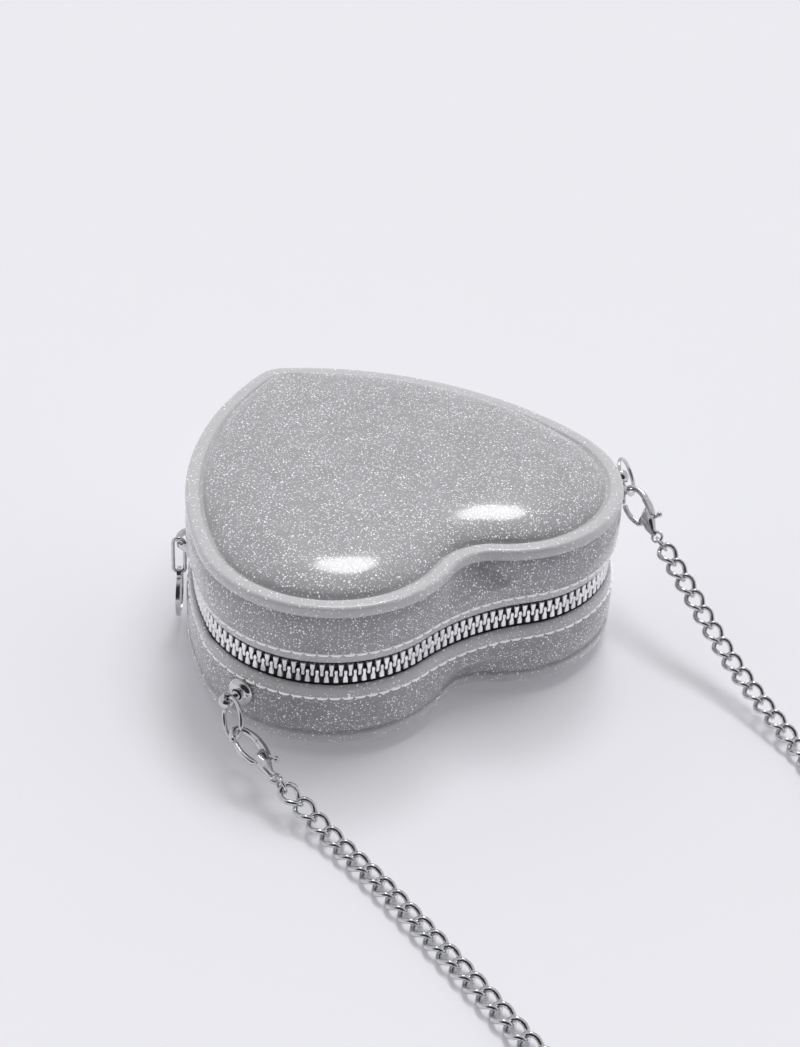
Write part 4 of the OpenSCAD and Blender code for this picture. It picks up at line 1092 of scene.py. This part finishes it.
@dataclass
class Stud:
    """A strap stud: a domed flange on the wall, a neck, and a ball with a bore for the ring."""

    half: Half
    mount: StrapMount
    flange_r: float = 4.1
    flange_h: float = 2.2
    neck_r: float = 1.3
    ball_r: float = 2.4
    bore_r: float = 1.2
    ball_out: float = 6.3
    lip: float = 0.12
    sides: int = 48

    def build(self, metal: Material) -> None:
        """Make the stud in place of its CAD node.

        The flange's dome is r = R sqrt(cos a), x = H sin a, which keeps a steep crisp edge. The
        ball is a circle from one rim of the bore to the other, closed by the bore's wall.
        """
        m, flange_r, neck_r, lip = self.mount, self.flange_r, self.neck_r, self.lip
        a = np.linspace(0, np.pi / 2 - lip, 14)[1:]
        flange = np.concatenate([
            [(1.5, -2.0), (1.5, 0.05), (flange_r - 0.25, 0.05), (flange_r, 0.25)],
            np.stack([flange_r * np.sqrt(np.cos(a)), 0.15 + self.flange_h * np.sin(a)], -1),
            [(neck_r + 0.25, self.flange_h + 0.1), (neck_r, self.flange_h + 0.5),
             (neck_r, self.ball_out - 1.9)],
        ])
        start = math.asin(self.bore_r / self.ball_r)
        b = np.linspace(start + lip, np.pi - start - lip, 22)
        end = self.ball_r * math.cos(start) - 0.2
        ball = np.concatenate([
            self.ball_r * np.stack([np.sin(b), -np.cos(b)], -1),
            [(self.bore_r, end), (self.bore_r, 0), (self.bore_r, -end)],
        ])
        surface = join(
            turned(flange, m.wall, unit(m.axis), self.sides, False),
            turned(ball, m.wall + self.ball_out * m.axis, unit(m.bore), self.sides, True),
        )
        tag = self.half.tag
        build_object(f"{tag}_stud_cast", surface, metal, "hardware_metal", self.half.body,
                     f"{tag}_stud")


@dataclass
class ChainStrap:
    """The strap's chain: two runs in view, and the rest stowed in a flat double spiral."""

    lower: Claw
    upper: Claw
    pitch: float = 5.5
    link_l: float = 8.3
    link_w: float = 6.8
    wire: float = 1.5
    roll: float = math.radians(-50)
    width: float = 7.0
    lower_points: tuple = (
        (65.5, 74.2, 6.2), (63.8, 80.8, 3.7), (62.2, 90.7, 2.2), (60.4, 105, 2),
        (59.1, 125, 2), (58.1, 145.2, 2), (57, 172, 2),
    )
    upper_points: tuple = (
        (-72, 64.4, 20.8), (-72, 75.9, 14.4), (-71.6, 87.4, 9.5), (-71, 101.6, 5.5), (-70, 120, 2),
    )
    lower_way_in: tuple = (
        (57, 172), (54, 183), (47, 193), (35, 203), (10, 215.5), (-15, 223.5),
    )
    upper_way_in: tuple = ((-70, 120), (-67, 131), (-60, 145), (-51, 161))
    coil_c: tuple[float, float] = (-78, 201.5)
    coil_pitch: float = 8.0
    coil_inner: float = 22.0
    coil_from: float = 280.0
    coil_turns: tuple[float, float] = (580.0, 500.0)
    coil_step: float = 15.0
    floor_h: float = 2.0
    seen_more: float = 20.0
    near_mesh: tuple[int, int] = (22, 8)
    far_mesh: tuple[int, int] = (12, 5)
    tie_angle: float = 180.0
    tie_w: float = 6.0
    tie_t: float = 0.4
    tie_h: float = 4.3
    tie_low: float = 0.2
    tie_round: float = 1.9

    def spiral(self, turn: Points, start: float) -> Points:
        """Return points of a spiral arm: the radius grows by the pitch with each half turn."""
        angle = np.radians(start - turn)
        r = self.coil_inner + self.coil_pitch * turn / 180
        return np.array(self.coil_c) + r[:, None] * np.stack([np.cos(angle), np.sin(angle)], -1)

    def bend(self, start: float, way: int) -> Points:
        """Return a half circle of the S at the coil's middle."""
        t = np.arange(2 * self.coil_step, 181, 2 * self.coil_step)
        one, two = np.radians(start), np.radians(start + way * t)
        mid = np.stack([np.cos(one) + np.cos(two), np.sin(one) + np.sin(two)], -1)
        return np.array(self.coil_c) + self.coil_inner / 2 * mid

    def stowed_route(self) -> Points:
        """Return the stowed length's route: in by one arm, round an S, and out by the other."""
        (a_turn, b_turn), step, start = self.coil_turns, self.coil_step, self.coil_from
        arm_a = self.spiral(np.arange(a_turn, -1e-6, -step), start)
        arm_b = self.spiral(np.arange(step, b_turn + 1e-6, step), start + 180)
        flat = np.concatenate([
            smooth_route([*self.lower_way_in, tuple(arm_a[0])]), arm_a[1:], self.bend(start, 1),
            self.bend(start + 180, -1), arm_b, smooth_route(self.upper_way_in)[::-1],
        ])
        return np.insert(flat, 2, self.floor_h, axis=1)

    def link(self, rings: int, sides: int) -> tuple[Points, Points]:
        """Return one link: an oval of wire whose ends are rolled opposite ways."""
        a, b = (self.link_l - self.wire) / 2, (self.link_w - self.wire) / 2

        def spot(t: Points) -> Points:
            """Return points of the wire's middle line."""
            roll = self.roll * np.cos(t)
            y = b * np.sin(t)
            return np.stack([a * np.cos(t), y * np.cos(roll), y * np.sin(roll)], -1)

        t = 2 * np.pi * np.arange(rings) / rings
        path, along = spot(t), unit(spot(t + 0.02) - spot(t - 0.02))
        out = unit(path - (path * along).sum(-1, keepdims=True) * along)
        section = ellipse(self.wire / 2, self.wire / 2, sides)
        points, quads, _ = sweep(path, section, out, np.cross(along, out), True)
        return points, quads[:, ::-1]

    def links(self, route: Points, s: Points, mesh: tuple[int, int]) -> Surface:
        """Return links whose middles lie the distances s along a route, as level as they can."""
        x = heading(route, s, self.pitch / 2)
        z = unit(UP - x[:, 2:] * x)
        return copies(*self.link(*mesh), along_route(route, s), (x, np.cross(z, x), z))

    def tie(self) -> Surface:
        """Return the cloth band round the coil's strands: a rounded loop carried round them."""
        inner = self.coil_inner + self.coil_pitch * (self.coil_from - self.tie_angle) / 180
        room, r = self.width / 2 + 0.5, self.tie_round
        lo, hi = inner - room + r, inner + 2 * self.coil_pitch + room - r
        low, high = self.tie_low + r, self.tie_h - r
        line = np.insert(np.concatenate([
            corner(lo, low, r, 180, 270, 6), corner(hi, low, r, 270, 360, 6),
            corner(hi, high, r, 0, 90, 6), corner(lo, high, r, 90, 180, 6),
        ]), 1, 0, axis=1)
        section = ellipse(self.tie_w / 2, self.tie_t / 2, 12, 0.6)[:, ::-1]
        points, quads, caps = tube(line, section, ACROSS, True)
        c, s = math.cos(math.radians(self.tie_angle)), math.sin(math.radians(self.tie_angle))
        turn = np.array([[c, s, 0], [-s, c, 0], [0, 0, 1]])
        return points @ turn + np.array([*self.coil_c, 0]), quads, caps

    def build(self, metal: Material, cloth: Material, claws: dict[Half, list],
              nodes: dict[str, Piece]) -> None:
        """Args:
            metal: Material of the chain.
            cloth: Material of the tie.
            claws: The pieces of each half's claw; not used.
            nodes: The CAD nodes by name.
        """
        lower_run = smooth_route([tuple(self.lower.chain_start), *self.lower_points])
        upper_run = smooth_route([tuple(self.upper.chain_start), *self.upper_points])
        route = np.concatenate([lower_run[:-1], self.stowed_route()[:-1], upper_run[::-1]])
        length = distances(route)[-1]
        seen_to = distances(lower_run)[-1] + self.seen_more
        stowed_to = length - distances(upper_run)[-1]
        half_l = (self.link_l - self.wire) / 2
        count = int(round((length - 2 * half_l) / self.pitch)) + 1
        s = np.linspace(half_l, length - half_l, count)
        near, far = s[s < stowed_to], s[s >= stowed_to]
        links = join(self.links(route, near[near < seen_to], self.near_mesh),
                     self.links(route, near[near >= seen_to], self.far_mesh))
        long = build_object("lower_strap_chain", links, metal, "chain_metal", "lower_half",
                            "lower_chain", "stowed_chain")
        short = build_object("upper_strap_chain", self.links(route, far, self.near_mesh), metal,
                             "chain_metal", None, "upper_chain")
        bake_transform(short)
        band = build_object("coil_band", self.tie(), cloth, "tie_fabric", "lower_half", "coil_tie")
        self.declare(Half.LOWER, nodes)
        self.declare(Half.UPPER, nodes)

    def declare(self, half: Half,
                nodes: dict[str, Piece]) -> None:
        """Look up the claw pin and jump ring at a run's ends; nothing more is done with them."""
        ends = [nodes[f"{half.tag}_{name}"] for name in ("claw_pin", "jump_ring")]


@dataclass
class Studio:
    """Camera, floor and lights. Its lengths are metres."""

    eye: Triple = (0.267648, 0.416390, 0.368506)
    right: Triple = (-0.84730943, 0.52905431, 0.04656465)
    up: Triple = (-0.26667115, -0.49962779, 0.82417144)
    back: Triple = (0.45929644, 0.68591079, 0.56442286)
    focal_px: float = 2017.05
    image_w: float = 800.0
    sensor: float = 36.0
    floor_half: float = 4.0
    dark_side: Triple = (0.45, 0.80, 0.40)
    light: Triple = (1.0, 1.0, 1.02)
    dark: Triple = (0.05, 0.05, 0.055)
    dark_from: float = 0.5
    dark_to: float = 0.74
    sky: float = 0.66

    def camera(self) -> None:
        """Place the camera where the photograph was taken from."""
        data = bpy.data.cameras.new("camera")
        data.sensor_fit = "HORIZONTAL"
        data.sensor_width = self.sensor
        data.lens = self.sensor * self.focal_px / self.image_w
        data.clip_start, data.clip_end = 0.01, 50.0
        camera = link("camera", data)
        turn = Matrix((self.right, self.up, self.back)).transposed().to_4x4()
        camera.matrix_world = Matrix.Translation(self.eye) @ turn
        bpy.context.scene.camera = camera

    def floor(self) -> None:
        """Lay the floor under the purse."""
        mesh = bpy.data.meshes.new("floor")
        corners = [(x * self.floor_half, y * self.floor_half, 0)
                   for x, y in ((-1, -1), (1, -1), (1, 1), (-1, 1))]
        mesh.from_pydata(corners, [], [(0, 1, 2, 3)])
        floor = link("floor", mesh)
        dress(floor, StudioPaper().make())

    def lamp(self, name: str, at: Triple, spread: float, power: float, mirrored: bool) -> None:
        """Hang a far soft light that shines from a point towards the purse.

        Args:
            name: The light's name.
            at: The point that it shines from.
            spread: How wide it looks, in radians.
            power: Its strength.
            mirrored: Whether glossy surfaces show it.
        """
        data = bpy.data.lights.new(name, "SUN")
        data.angle, data.energy = spread, power
        lamp = link(name, data)
        lamp.visible_glossy = mirrored
        turn = (-Vector(at)).to_track_quat("-Z", "Y").to_matrix().to_4x4()
        lamp.matrix_world = Matrix.Translation(at) @ turn

    def world(self) -> None:
        """Light the room: white all round, and dark behind the camera."""
        world = bpy.data.worlds.new("studio")
        bpy.context.scene.world = world
        world.use_nodes = True
        nodes, links = world.node_tree.nodes, world.node_tree.links
        background = nodes["Background"]
        place = nodes.new("ShaderNodeTexCoord")
        facing = nodes.new("ShaderNodeVectorMath")
        facing.operation = "DOT_PRODUCT"
        facing.inputs[1].default_value = self.dark_side
        ramp = nodes.new("ShaderNodeValToRGB")
        links.new(place.outputs["Generated"], facing.inputs[0])
        links.new(facing.outputs["Value"], ramp.inputs[0])
        links.new(ramp.outputs[0], background.inputs["Color"])
        stops = ((self.dark_from, self.light), (self.dark_to, self.dark))
        for stop, (position, colour) in zip(ramp.color_ramp.elements, stops):
            stop.position, stop.color = position, (*colour, 1)
        background.inputs["Strength"].default_value = self.sky

    def build(self) -> None:
        """Set up the whole studio."""
        self.camera()
        self.floor()
        self.world()
        self.lamp("overhead", (-0.32, -0.12, 0.94), 0.45, 0.8, False)
        self.lamp("strip", (-0.33, -0.411, 0.85), 0.25, 0.65, True)
        bpy.context.scene.view_settings.view_transform = "Standard"


def main() -> None:
    """Build the purse piece by piece and dress the CAD nodes that stay."""
    logging.basicConfig(level=logging.INFO, format="%(message)s")
    Studio().build()
    nodes, form = frame["nodes"], HeartForm()
    metal, vinyl = Plating("bright_nickel").make(), GlitterVinyl().make()
    tooth_metal = Plating("tooth_nickel", (0.97, 0.97, 0.98), 0.3).make()
    chain_metal = Plating("chain_nickel", rough=0.1).make()
    # The seam thread glows at 0.3: painted light that brightens the stitches
    thread = Cloth("seam_thread", (1.0, 1.0, 1.0), 0.3, 0.6, 0.3).make()
    lining = Cloth("lining_cloth", (0.3, 0.3, 0.32), 0.5).make()
    weave = Cloth("tape_weave", (0.018, 0.018, 0.02), 0.6).make()
    band_cloth = Cloth("band_cloth", (0.12, 0.12, 0.12)).make()
    claws = [Claw(half, mount) for half, mount in MOUNTS.items()]
    made = {claw.half: claw.build(metal) for claw in claws}
    for half, mount in MOUNTS.items():
        Stud(half, mount).build(metal)
    ChainStrap(*claws).build(chain_metal, band_cloth, made, nodes)
    for half, mount in MOUNTS.items():
        HalfShell(half, form, mount).build(vinyl, thread, lining)
    Zipper(form).build(tooth_metal, weave, vinyl)
    low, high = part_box("pull_disc")
    enamel = DiscEnamel(((low.x + high.x) / 2, (low.y + high.y) / 2, low.z + 0.007)).make()
    for name, node in nodes.items():
        if name == "pull_disc" or not node.hide_render:
            dress(node, enamel if name == "pull_disc" else metal)


if __name__ == "__main__":
    main()
